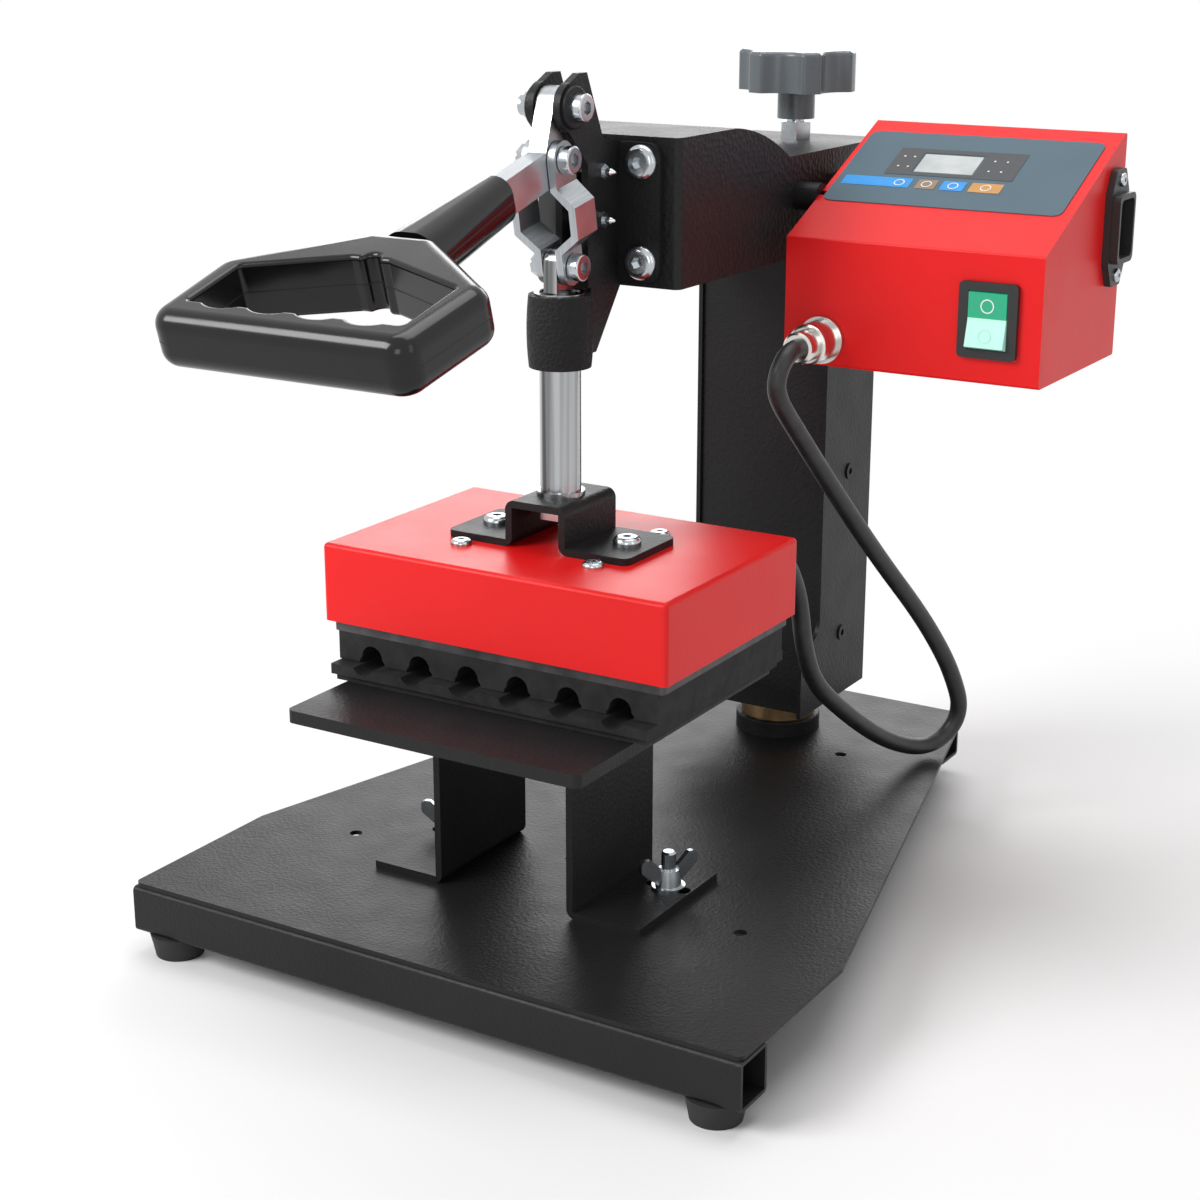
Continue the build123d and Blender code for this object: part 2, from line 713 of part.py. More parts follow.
def plunger_rod():
    rod = post(0, 0, HAT_TOP + ROD_FOOT_HEIGHT, ROD_TOP, ROD_RADIUS)
    foot = post(0, 0, HAT_TOP, HAT_TOP + ROD_FOOT_HEIGHT, ROD_FOOT_RADIUS)
    tang_top = PLUNGER_PIN[1] + TANG_HALF_WIDTH
    tang = block(-TANG_THICK / 2, TANG_THICK / 2, -TANG_HALF_WIDTH, TANG_HALF_WIDTH, ROD_TOP - 1, tang_top)
    top_corners = tang.edges().filter_by(Axis.X).group_by(Axis.Z)[-1]
    tang = fillet(top_corners, TANG_HALF_WIDTH * 0.8)
    rod = rod + foot + tang
    rod -= cross_pin(PLUNGER_PIN[0], PLUNGER_PIN[1], -TANG_THICK, TANG_THICK, LINK_PIN_RADIUS + RUN_FIT)
    return rod - post(0, 0, HAT_TOP - 1, HAT_TOP + 26, PLUNGER_BOLT_RADIUS + RUN_FIT)


def plunger_bolt():
    under = HAT_TOP - HAT_THICK
    shank = post(0, 0, under, HAT_TOP + 24, PLUNGER_BOLT_RADIUS)
    head = Pos(0, 0, under - 6.4) * extrude(hexagon(PLUNGER_BOLT_FLATS), 6.4)
    return shank + head


def guide_bush():
    """A slightly barrelled sleeve welded between the clamp plates."""
    middle = (GUIDE_BOTTOM + GUIDE_TOP) / 2
    low = (GUIDE_RADIUS, GUIDE_BOTTOM)
    high = (GUIDE_RADIUS, GUIDE_TOP)
    side = ThreePointArc(low, (GUIDE_RADIUS + GUIDE_BELLY, middle), high)
    path = side + Polyline(high, (0, GUIDE_TOP), (0, GUIDE_BOTTOM), low)
    barrel = revolve(Plane.XZ * make_face(path), Axis.Z)
    return barrel - post(0, 0, GUIDE_BOTTOM - 1, GUIDE_TOP + 1, LINER_RADIUS + RUN_FIT)


def guide_liner():
    liner = post(0, 0, GUIDE_BOTTOM, GUIDE_TOP + LINER_RISE, LINER_RADIUS)
    return liner - post(0, 0, GUIDE_BOTTOM - 1, GUIDE_TOP + 2, ROD_RADIUS + RUN_FIT)


# Toggle linkage

def lever_frame():
    """Unit vectors along the bar, towards the user, and across it, upwards."""
    angle = math.radians(LEVER_SLOPE)
    along = (-math.cos(angle), -math.sin(angle))
    across = (-math.sin(angle), math.cos(angle))
    return along, across


def on_lever(distance, height):
    """A (Y, Z) place measured from the grip's end along the bar."""
    along, across = lever_frame()
    y = GRIP_START[0] + distance * along[0] + height * across[0]
    z = GRIP_START[1] + distance * along[1] + height * across[1]
    return (y, z)


def lever_bar():
    back = (CRANK_PIN[0] - GRIP_START[0]) / math.cos(math.radians(LEVER_SLOPE)) + 1.5
    bar = outline(
        [
            on_lever(-back, -LEVER_HALF_WIDTH),
            on_lever(BAR_IN_GRIP, -LEVER_HALF_WIDTH),
            on_lever(BAR_IN_GRIP, LEVER_HALF_WIDTH),
            on_lever(-back, LEVER_HALF_WIDTH),
        ]
    )
    ends = Pos(*FIXED_PIN) * Circle(LEVER_EAR_RADIUS) + Pos(*CRANK_PIN) * Circle(LEVER_EAR_RADIUS)
    web = make_hull(ends.edges())
    body = side_prism(bar + web, -LEVER_THICK / 2, LEVER_THICK / 2)
    body -= cross_pin(FIXED_PIN[0], FIXED_PIN[1], -LEVER_THICK, LEVER_THICK, PIN_RADIUS + RUN_FIT)
    return body - cross_pin(CRANK_PIN[0], CRANK_PIN[1], -LEVER_THICK, LEVER_THICK, LINK_PIN_RADIUS + RUN_FIT)


def link_half(side):
    """A bowed strap, drawn flat on the line between its two pins and then leant back to it."""
    dy = CRANK_PIN[0] - PLUNGER_PIN[0]
    dz = CRANK_PIN[1] - PLUNGER_PIN[1]
    length = math.hypot(dy, dz)
    lean = math.degrees(math.atan2(-dy, dz))
    end = LINK_HALF_WIDTH
    half = LINK_THICK / 2
    top_x = LEVER_THICK / 2 + LEVER_EAR_GAP + half
    low_x = TANG_THICK / 2 + LEVER_EAR_GAP + half
    middle = [
        (low_x, -end),
        (low_x, LINK_BEND_BOTTOM * length),
        (LINK_BOW_X, LINK_BOW_BOTTOM * length),
        (LINK_BOW_X, LINK_BOW_TOP * length),
        (top_x, LINK_BEND_TOP * length),
        (top_x, length + end),
    ]
    inside = offset_line(middle, -half)
    outside = offset_line(middle, half)
    strap = front_prism(outline(inside + list(reversed(outside))), -end, end)
    reach = LINK_BOW_X + LINK_THICK
    silhouette = make_hull((Circle(end) + Pos(0, length) * Circle(end)).edges())
    strap = strap & side_prism(silhouette, 0, reach)
    strap -= cross_pin(0, length, 0, reach, LINK_PIN_RADIUS + RUN_FIT)
    strap -= cross_pin(0, 0, 0, reach, LINK_PIN_RADIUS + LINK_SLACK)
    if side < 0:
        strap = mirror(strap, Plane.YZ)
    return Pos(0, PLUNGER_PIN[0], PLUNGER_PIN[1]) * Rot(lean, 0, 0) * strap


def offset_line(points, distance):
    """An open line moved sideways by a distance, with its corners kept sharp."""
    moved = []
    for index, point in enumerate(points):
        before = points[max(index - 1, 0)]
        after = points[min(index + 1, len(points) - 1)]
        first = math.atan2(point[1] - before[1], point[0] - before[0])
        second = math.atan2(after[1] - point[1], after[0] - point[0])
        if index == 0:
            first = second
        if index == len(points) - 1:
            second = first
        heading = (first + second) / 2
        stretch = distance / math.cos((second - first) / 2)
        moved.append((point[0] + stretch * math.sin(heading), point[1] - stretch * math.cos(heading)))
    return moved


def toggle_links():
    return Compound([link_half(1), link_half(-1)])


def cap_bolt(y, z, inner_x, radius, head_radius):
    """A socket cap screw from the right with a nut on the left."""
    shank = cross_pin(y, z, -inner_x - CAP_HEAD_LENGTH - 1, inner_x, radius)
    head = Pos(inner_x, y, z) * Rot(0, 90, 0) * extrude(Circle(head_radius), CAP_HEAD_LENGTH)
    head = fillet(head.faces().sort_by(Axis.X)[-1].edges(), 0.8)
    socket = extrude(hexagon(head_radius * 0.9), -2.5)
    socket = Pos(inner_x + CAP_HEAD_LENGTH, y, z) * Rot(0, 90, 0) * socket
    nut = Pos(-inner_x, y, z) * Rot(0, -90, 0) * extrude(hexagon(head_radius * 1.6), 4.0)
    return shank + head - socket + nut


def link_top_bolt():
    inner = LEVER_THICK / 2 + 2 * LEVER_EAR_GAP + LINK_THICK
    return cap_bolt(CRANK_PIN[0], CRANK_PIN[1], inner, LINK_PIN_RADIUS, CAP_HEAD_RADIUS)


def link_bottom_bolt():
    inner = TANG_THICK / 2 + 2 * LEVER_EAR_GAP + LINK_THICK
    return cap_bolt(PLUNGER_PIN[0], PLUNGER_PIN[1], inner, LINK_PIN_RADIUS, CAP_HEAD_RADIUS)


# Clamp body

def clamp_plate(side):
    """A web with an ear for the lever's pin and a flange bolted to the beam."""
    y, z = FIXED_PIN
    web = outline(
        [
            (y - EAR_RADIUS * 0.35, z - EAR_RADIUS * 0.9),
            (CLAMP_FRONT_Y, z - 22.5),
            (CLAMP_FRONT_Y, GUIDE_BOTTOM + 4),
            (GUIDE_RADIUS + 2.6, GUIDE_BOTTOM + 4),
            (BEAM_FRONT_Y, FLANGE_BOTTOM),
            (BEAM_FRONT_Y, FLANGE_TOP),
            (BEAM_FRONT_Y - 14.5, FLANGE_TOP + 2),
            (y + EAR_RADIUS * 1.1, z + EAR_RADIUS * 1.3),
            (y + EAR_RADIUS * 0.5, z + EAR_RADIUS * 1.3),
            (y - EAR_RADIUS * 0.55, z + EAR_RADIUS * 0.8),
        ]
    )
    web = web + Pos(y, z) * Circle(EAR_RADIUS)
    x0 = CLAMP_INNER_X
    x1 = x0 + CLAMP_PLATE_THICK
    plate = side_prism(web, x0, x1)
    flange = block(x0, FLANGE_X, BEAM_FRONT_Y - CLAMP_PLATE_THICK, BEAM_FRONT_Y, FLANGE_BOTTOM, FLANGE_TOP)
    outer_edges = flange.edges().filter_by(Axis.Y).group_by(Axis.X)[-1]
    flange = fillet(outer_edges, FLANGE_CORNER)
    boss = cross_pin(y, z, x1, x1 + EAR_BOSS_THICK, EAR_BOSS_RADIUS)
    boss = fillet(boss.faces().sort_by(Axis.X)[-1].edges(), 0.9)
    plate = plate + flange + boss
    plate -= post(0, 0, GUIDE_BOTTOM - 5, GUIDE_TOP + 2 * LINER_RISE, GUIDE_RADIUS + GUIDE_BELLY + RUN_FIT)
    plate -= cross_pin(y, z, 0, x1 + 5, PIN_RADIUS + RUN_FIT)
    for level in BOLT_LEVELS:
        plate -= long_pin(BOLT_X, level, BEAM_FRONT_Y - 6, BEAM_FRONT_Y + 1, BOLT_RADIUS + BOLT_CLEARANCE)
    for level in SWITCH_SCREW_LEVELS:
        plate -= cross_pin(SWITCH_SCREW_Y, level, 0, x1 + 1, SWITCH_SCREW_RADIUS + BOLT_CLEARANCE)
    if side < 0:
        plate = mirror(plate, Plane.YZ)
    return plate


def lever_pivot_bolt():
    face = CLAMP_INNER_X + CLAMP_PLATE_THICK + EAR_BOSS_THICK
    return cap_bolt(FIXED_PIN[0], FIXED_PIN[1], face, PIN_RADIUS, CAP_HEAD_RADIUS)


def clamp_bolts():
    """Four button-head bolts through the flanges, with nuts inside the beam."""
    front = BEAM_FRONT_Y - CLAMP_PLATE_THICK
    pieces = []
    grip = CLAMP_PLATE_THICK + SHEET + 8
    for x in (-BOLT_X, BOLT_X):
        for level in BOLT_LEVELS:
            bolt = dome_screw(BOLT_HEAD_RADIUS, BOLT_HEAD_HEIGHT, BOLT_RADIUS, grip)
            pieces.append(Pos(x, front, level) * Rot(90, 0, 0) * bolt)
            nut = hex_nut(13.0, 6.5, BOLT_RADIUS + RUN_FIT)
            pieces.append(Pos(x, BEAM_FRONT_Y + SHEET, level) * Rot(-90, 0, 0) * nut)
    return Compound(pieces)


def limit_switch():
    """A small switch on the clamp's left side that tells the timer the press is shut."""
    wide, deep, tall = SWITCH_SIZE
    x1 = -(CLAMP_INNER_X + CLAMP_PLATE_THICK)
    middle = sum(SWITCH_SCREW_LEVELS) / 2
    y0 = SWITCH_SCREW_Y - deep / 2
    body = block(x1 - wide, x1, y0, y0 + deep, middle - tall / 2, middle + tall / 2)
    body = fillet(body.edges().filter_by(Axis.X), 1.0)
    z1 = middle + tall / 2 + 3
    button = block(x1 - wide * 0.7, x1 - wide * 0.3, SWITCH_SCREW_Y - 2, SWITCH_SCREW_Y + 2, middle, z1)
    body = body + button
    for level in SWITCH_SCREW_LEVELS:
        body -= cross_pin(SWITCH_SCREW_Y, level, x1 - wide - 1, x1 + 1, SWITCH_SCREW_RADIUS + BOLT_CLEARANCE)
    return body


def switch_screws():
    """Two long screws whose points and nuts show on the right."""
    left = -(CLAMP_INNER_X + CLAMP_PLATE_THICK) - SWITCH_SIZE[0]
    right = CLAMP_INNER_X + CLAMP_PLATE_THICK
    screws = []
    for level in SWITCH_SCREW_LEVELS:
        shank = cross_pin(SWITCH_SCREW_Y, level, left, right + 5, SWITCH_SCREW_RADIUS)
        head = cross_pin(SWITCH_SCREW_Y, level, left - 2, left, 2.8)
        nut = Pos(right, SWITCH_SCREW_Y, level) * Rot(0, 90, 0) * extrude(hexagon(5.5), 2.2)
        tip = Pos(right + 6.0, SWITCH_SCREW_Y, level) * Rot(0, 90, 0) * Cone(SWITCH_SCREW_RADIUS, 0.4, 2.0)
        screws.append(shank + head + nut + tip)
    return Compound(screws)


# Grip

def grip_plane(height):
    """The grip's own plane: X across, Y along the bar towards the user."""
    origin = on_lever(0, height)
    along, across = lever_frame()
    return Plane(origin=(0, origin[0], origin[1]), x_dir=(-1, 0, 0), z_dir=(0, across[0], across[1]))


def grip_ring():
    outer = outline(
        [
            (-GRIP_HALF_WIDTH + 3, GRIP_FRONT),
            (GRIP_HALF_WIDTH - 3, GRIP_FRONT),
            (GRIP_HALF_WIDTH, GRIP_SHOULDER),
            (GRIP_NECK_HALF_WIDTH, GRIP_NECK),
            (-GRIP_NECK_HALF_WIDTH, GRIP_NECK),
            (-GRIP_HALF_WIDTH, GRIP_SHOULDER),
        ]
    )
    outer = fillet(outer.vertices(), GRIP_CORNER)
    hole = outline(
        [
            (-HOLE_HALF_WIDTH, HOLE_FRONT),
            (HOLE_HALF_WIDTH, HOLE_FRONT),
            (HOLE_HALF_WIDTH + 1, HOLE_SHOULDER),
            (8, HOLE_BACK),
            (-8, HOLE_BACK),
            (-HOLE_HALF_WIDTH - 1, HOLE_SHOULDER),
        ]
    )
    hole += Pos(0, HOLE_BACK) * Circle(HOLE_BOSS_RADIUS)
    first = -(FINGER_COUNT - 1) / 2 * FINGER_PITCH
    for index in range(FINGER_COUNT):
        centre_y = HOLE_FRONT - FINGER_RADIUS + FINGER_DEPTH
        hole += Pos(first + index * FINGER_PITCH, centre_y) * Circle(FINGER_RADIUS)
    hole = fillet(hole.vertices(), HOLE_CORNER)
    return outer, hole


def grip_half(side):
    """One moulded half of the handle; the other is its mirror across the lever's plane."""
    outer, hole = grip_ring()
    thick = side * GRIP_THICK / 2
    shell = extrude(outer, thick)
    face = shell.faces().sort_by(Axis.Z)[-1 if side > 0 else 0]
    shell = fillet(face.edges(), GRIP_EDGE)
    cut = extrude(hole, thick * 1.2)
    shell -= cut
    rim = [e for e in shell.edges() if abs(e.center().Z - thick) < 0.01 and near_hole(e)]
    shell = fillet(rim, HOLE_EDGE)
    slot = LEVER_THICK / 2 + RUN_FIT
    tall = LEVER_HALF_WIDTH + RUN_FIT
    shell -= block(-slot, slot, 0, BAR_IN_GRIP + 0.5, -tall, tall)
    return grip_plane(0) * shell


def near_hole(edge):
    """True for the edges round the finger hole."""
    centre = edge.center()
    across = abs(centre.X) < HOLE_HALF_WIDTH + 3
    return across and HOLE_BACK - 5 < centre.Y < HOLE_FRONT + FINGER_DEPTH + 1


def grip_sleeve():
    """The tapered socket that takes the end of the bar."""
    small = RectangleRounded(SLEEVE_END[0], SLEEVE_END[1], SLEEVE_CORNER)
    large = RectangleRounded(SLEEVE_ROOT[0], SLEEVE_ROOT[1], SLEEVE_CORNER + 3)
    end_plane = Plane(origin=(0, 0, 0), x_dir=(1, 0, 0), z_dir=(0, 1, 0))
    root_plane = Plane(origin=(0, GRIP_NECK, 0), x_dir=(1, 0, 0), z_dir=(0, 1, 0))
    sleeve = loft([end_plane * small, root_plane * large])
    slot = LEVER_THICK / 2 + RUN_FIT
    tall = LEVER_HALF_WIDTH + RUN_FIT
    sleeve -= block(-slot, slot, -1, BAR_IN_GRIP + 0.5, -tall, tall)
    return grip_plane(0) * sleeve


# Column and beam

def column_outline():
    flare = Spline(
        (COLUMN_FOOT_Y, COLUMN_FLARE_LOW),
        (COLUMN_FRONT_Y, COLUMN_FLARE_HIGH),
        tangents=((0, 1), (0, 1)),
    )
    crown = Spline(
        (COLUMN_FRONT_Y, COLUMN_TOP_FLARE),
        (COLUMN_TOP_Y, BEAM_BOTTOM),
        tangents=((0, 1), (-0.7, 1)),
    )
    rest = Polyline(
        (COLUMN_TOP_Y, BEAM_BOTTOM),
        (COLUMN_REAR_Y, BEAM_BOTTOM),
        (COLUMN_REAR_Y, COLUMN_BOTTOM),
        (COLUMN_FOOT_Y, COLUMN_BOTTOM),
        (COLUMN_FOOT_Y, COLUMN_FLARE_LOW),
    )
    upright = Line((COLUMN_FRONT_Y, COLUMN_FLARE_HIGH), (COLUMN_FRONT_Y, COLUMN_TOP_FLARE))
    return make_face(flare + upright + crown + rest)


def column_channel():
    """Two side walls, a back and the foot plate that turns on the bush."""
    wall = column_outline()
    inner = COLUMN_HALF_WIDTH - SHEET
    left = side_prism(wall, -COLUMN_HALF_WIDTH, -inner)
    right = side_prism(wall, inner, COLUMN_HALF_WIDTH)
    back = block(-inner, inner, COLUMN_REAR_Y - SHEET, COLUMN_REAR_Y, COLUMN_BOTTOM, BEAM_BOTTOM)
    foot = block(-inner, inner, COLUMN_FOOT_Y, COLUMN_REAR_Y, BUSH_TOP, BUSH_TOP + FOOT_PLATE_THICK)
    channel = left + right + back + foot
    channel -= post(0, PIVOT_Y, BUSH_TOP - 1, BUSH_TOP + 5, POST_RADIUS + RUN_FIT)
    for y, z in PLUG_PLACES:
        channel -= cross_pin(y, z, inner - 1, COLUMN_HALF_WIDTH + 1, PLUG_RADIUS + RUN_FIT)
    return channel


def column_front_plate():
    inner = COLUMN_HALF_WIDTH - SHEET
    y0 = COLUMN_FRONT_Y + FRONT_PLATE_RECESS
    return block(-inner, inner, y0, y0 + SHEET, BUSH_TOP + FOOT_PLATE_THICK, BEAM_BOTTOM)


def column_plugs():
    plugs = []
    for y, z in PLUG_PLACES:
        body = cross_pin(y, z, COLUMN_HALF_WIDTH - SHEET, COLUMN_HALF_WIDTH, PLUG_RADIUS)
        rim = cross_pin(y, z, COLUMN_HALF_WIDTH, COLUMN_HALF_WIDTH + 0.8, PLUG_RADIUS + 0.5)
        dimple = cross_pin(y, z, COLUMN_HALF_WIDTH, COLUMN_HALF_WIDTH + 1, PLUG_RADIUS * 0.5)
        plugs.append(body + rim - dimple)
    return Compound(plugs)


def beam_outline(inset):
    """The beam's side: flat top, a hump falling to the lower rear."""
    top = BEAM_TOP - inset
    rear_top = BEAM_REAR_TOP - inset
    hump = ThreePointArc(
        (BEAM_FLAT_END_Y, top),
        (BEAM_HUMP[0] - inset * 0.5, BEAM_HUMP[1] - inset),
        (BEAM_VALLEY_Y, rear_top),
    )
    rest = Polyline(
        (BEAM_VALLEY_Y, rear_top),
        (BEAM_REAR_Y - inset, rear_top),
        (BEAM_REAR_Y - inset, BEAM_BOTTOM),
        (BEAM_FRONT_Y + inset, BEAM_BOTTOM),
        (BEAM_FRONT_Y + inset, top),
        (BEAM_FLAT_END_Y, top),
    )
    return make_face(hump + rest)


def beam_shell():
    inner = COLUMN_HALF_WIDTH - SHEET
    outer = side_prism(beam_outline(0), -COLUMN_HALF_WIDTH, COLUMN_HALF_WIDTH)
    front_edges = outer.edges().filter_by(Axis.Z).group_by(Axis.Y)[0]
    outer = fillet(front_edges, 3.0)
    shell = outer - side_prism(beam_outline(SHEET), -inner, inner)
    for x in (-BOLT_X, BOLT_X):
        for level in BOLT_LEVELS:
            shell -= long_pin(x, level, BEAM_FRONT_Y - 1, BEAM_FRONT_Y + 5, BOLT_RADIUS + BOLT_CLEARANCE)
    return shell - post(0, KNOB_Y, BEAM_REAR_TOP - 5, BEAM_REAR_TOP + 1, KNOB_SCREW_RADIUS + BOLT_CLEARANCE)


def beam_floor():
    inner = COLUMN_HALF_WIDTH - SHEET
    return block(-inner, inner, BEAM_FRONT_Y + SHEET, BEAM_REAR_Y - SHEET, BEAM_BOTTOM, BEAM_BOTTOM + SHEET)


# Pressure knob

def knob_nut():
    nut = hex_nut(KNOB_NUT_FLATS, KNOB_NUT_HEIGHT, KNOB_SCREW_RADIUS + RUN_FIT)
    return Pos(0, KNOB_Y, BEAM_REAR_TOP) * nut


def knob_bottom():
    return BEAM_REAR_TOP + KNOB_NUT_HEIGHT + KNOB_NUT_GAP


def knob_screw():
    z0 = BEAM_BOTTOM + SHEET + 6
    screw = post(0, KNOB_Y, z0, knob_bottom() + KNOB_HUB_HEIGHT, KNOB_SCREW_RADIUS)
    return chamfer(screw.faces().sort_by(Axis.Z)[0].edges(), 1.0)


def pressure_knob():
    """A hub under a disc with six hollows round its rim and blunt lobes between them."""
    z0 = knob_bottom()
    z1 = z0 + KNOB_HUB_HEIGHT
    hub = post(0, 0, z0, z1, KNOB_HUB_RADIUS)
    star = Circle(KNOB_RADIUS)
    for index in range(KNOB_LOBES):
        angle = math.radians(360 / KNOB_LOBES * (index + 0.5) + KNOB_TURN)
        x = KNOB_HOLLOW_CENTRE * math.cos(angle)
        y = KNOB_HOLLOW_CENTRE * math.sin(angle)
        star -= Pos(x, y) * Circle(KNOB_HOLLOW_RADIUS)
    star = fillet(star.vertices(), 2.2)
    head = flat_prism(star, z1, z1 + KNOB_HEIGHT)
    head = fillet(top_edges(head), 2.0)
    bore = post(0, 0, z0 - 1, z1, KNOB_SCREW_RADIUS + RUN_FIT)
    return Pos(0, KNOB_Y, 0) * (head + hub - bore)


# Control box

def box_outline(inset):
    slope = math.tan(math.radians(PANEL_SLOPE))
    drop = inset / math.cos(math.radians(PANEL_SLOPE))
    front = BOX_FRONT_Y + inset
    rear = BOX_REAR_Y - inset
    return outline(
        [
            (front, BOX_BOTTOM + inset),
            (front, BOX_RIDGE - drop + inset * slope),
            (rear, BOX_TOP - drop - inset * slope),
            (rear, BOX_BOTTOM + inset),
        ]
    )


def panel_plane(height):
    """A plane on the sloping face: X to the right, Y up the slope from the ridge."""
    angle = math.radians(PANEL_SLOPE)
    normal = (0, -math.sin(angle), math.cos(angle))
    origin = (0, BOX_FRONT_Y + height * normal[1], BOX_RIDGE + height * normal[2])
    return Plane(origin=origin, x_dir=(1, 0, 0), z_dir=normal)


def display_cutter(margin, depth):
    window = Pos(DISPLAY_X, DISPLAY_UP) * Rectangle(DISPLAY_SIZE[0] + margin, DISPLAY_SIZE[1] + margin)
    return extrude(panel_plane(-depth) * window, depth + 3)


def box_shell():
    outer = side_prism(box_outline(0), BOX_LEFT, BOX_RIGHT)
    outer = fillet(outer.edges().filter_by(Axis.X), BOX_EDGE)
    inner = side_prism(box_outline(BOX_SHEET), BOX_LEFT + BOX_SHEET, BOX_RIGHT - BOX_SHEET)
    inset = BOX_SHEET * 3
    window = block(
        BOX_LEFT + inset,
        BOX_RIGHT - inset,
        BOX_REAR_Y - 4,
        BOX_REAR_Y + 1,
        BOX_BOTTOM + inset,
        BOX_TOP - 2 * inset,
    )
    shell = outer - inner - window - display_cutter(2 * BOLT_CLEARANCE, 6)
    wide = ROCKER_OPENING[0] + 4
    tall = ROCKER_OPENING[1] + 3
    y0 = BOX_FRONT_Y - 1
    y1 = BOX_FRONT_Y + 4
    x0 = ROCKER_X - wide / 2
    z0 = ROCKER_Z - tall / 2
    shell -= block(x0, x0 + wide, y0, y1, z0, z0 + tall)
    shell -= long_pin(SOCKET_X, SOCKET_Z, y0, y1, SOCKET_BARREL_RADIUS + BOLT_CLEARANCE)
    deep = INLET_BODY[0] / 2 + BOLT_CLEARANCE
    high = INLET_BODY[1] / 2 + BOLT_CLEARANCE
    z0 = INLET_Z - high
    shell -= block(BOX_RIGHT - 4, BOX_RIGHT + 1, INLET_Y - deep, INLET_Y + deep, z0, z0 + 2 * high)
    for z in inlet_screw_levels():
        shell -= cross_pin(INLET_Y, z, BOX_RIGHT - 4, BOX_RIGHT + 1, 1.5 + BOLT_CLEARANCE)
    for y, z in SPACER_PLACES:
        shell -= cross_pin(y, z, BOX_LEFT - 1, BOX_LEFT + 4, 2.5 + BOLT_CLEARANCE)
    return shell


def box_back_cover():
    margin = BOX_SHEET
    plate = block(
        BOX_LEFT + margin,
        BOX_RIGHT - margin,
        BOX_REAR_Y,
        BOX_REAR_Y + BOX_SHEET,
        BOX_BOTTOM + margin,
        BOX_TOP - 2 * margin,
    )
    plate = fillet(plate.edges().filter_by(Axis.Y), 2.0)
    slot = SlotOverall(16.0, 2.4)
    for column in range(3):
        for row in range(4):
            place = Pos(80.0 + 21.0 * column, 256.0 + 6.0 * row)
            plate -= front_prism(place * slot, BOX_REAR_Y - 1, BOX_REAR_Y + 4)
    return plate


def box_spacers():
    spacers = []
    for y, z in SPACER_PLACES:
        spacer = cross_pin(y, z, COLUMN_HALF_WIDTH, BOX_LEFT, SPACER_RADIUS)
        spacers.append(spacer)
    return Compound(spacers)


def panel_overlay():
    middle = Pos((PANEL_LEFT + PANEL_RIGHT) / 2, (PANEL_LOW + PANEL_HIGH) / 2)
    film = middle * RectangleRounded(PANEL_RIGHT - PANEL_LEFT, PANEL_HIGH - PANEL_LOW, PANEL_CORNER)
    film = extrude(panel_plane(0) * film, PANEL_THICK)
    return film - display_cutter(2 * BOLT_CLEARANCE, 2)


def display_module():
    glass = Pos(DISPLAY_X, DISPLAY_UP) * Rectangle(*DISPLAY_SIZE)
    return extrude(panel_plane(-DISPLAY_DEEP) * glass, DISPLAY_DEEP + PANEL_THICK)


def control_board():
    """The circuit board on its pillar block behind the display."""
    centre = Pos((PANEL_LEFT + PANEL_RIGHT) / 2, (PANEL_LOW + PANEL_HIGH) / 2 - 2)
    board = extrude(panel_plane(-DISPLAY_DEEP - 1.6) * centre * Rectangle(84, 42), 1.6)
    relay = extrude(panel_plane(-DISPLAY_DEEP - 17) * Pos(75, 48) * Rectangle(19, 15), 15.4)
    return board + relay


def rocker_frame():
    wide, tall = ROCKER_FRAME_SIZE
    rim = Pos(ROCKER_X, ROCKER_Z) * RectangleRounded(wide, tall, 2.0)
    rim = front_prism(rim, BOX_FRONT_Y - ROCKER_FRAME_PROUD, BOX_FRONT_Y)
    can = Pos(ROCKER_X, ROCKER_Z) * Rectangle(ROCKER_OPENING[0] + 3, ROCKER_OPENING[1] + 2)
    can = front_prism(can, BOX_FRONT_Y, BOX_FRONT_Y + ROCKER_DEPTH)
    hole = Pos(ROCKER_X, ROCKER_Z) * Rectangle(*ROCKER_OPENING)
    hole = front_prism(hole, BOX_FRONT_Y - ROCKER_FRAME_PROUD - 1, BOX_FRONT_Y + ROCKER_DEPTH - 4)
    return rim + can - hole


def rocker_button():
    """A rocker with round ends about its own pin; the lower half stands out at rest."""
    reach = ROCKER_OPENING[1] / 2 - PART_GAP
    bend = math.radians(ROCKER_TILT)
    profile = Circle(reach) & outline(
        [
            (-ROCKER_FACE - reach * math.tan(2 * bend), -reach - 1),
            (-ROCKER_FACE, 0),
            (-ROCKER_FACE, reach + 1),
            (5.0, reach + 1),
            (5.0, -reach - 1),
        ]
    )
    half = ROCKER_OPENING[0] / 2 - PART_GAP
    return side_prism(Pos(BOX_FRONT_Y, ROCKER_Z) * profile, ROCKER_X - half, ROCKER_X + half)


def cord_socket():
    """The threaded panel socket, its ring outside and its body inside the box."""
    y0 = BOX_FRONT_Y
    ring = long_pin(SOCKET_X, SOCKET_Z, y0 - SOCKET_RING_THICK, y0, SOCKET_RING_RADIUS)
    barrel = long_pin(SOCKET_X, SOCKET_Z, y0 - 10, y0 + 12, SOCKET_BARREL_RADIUS)
    return ring + barrel


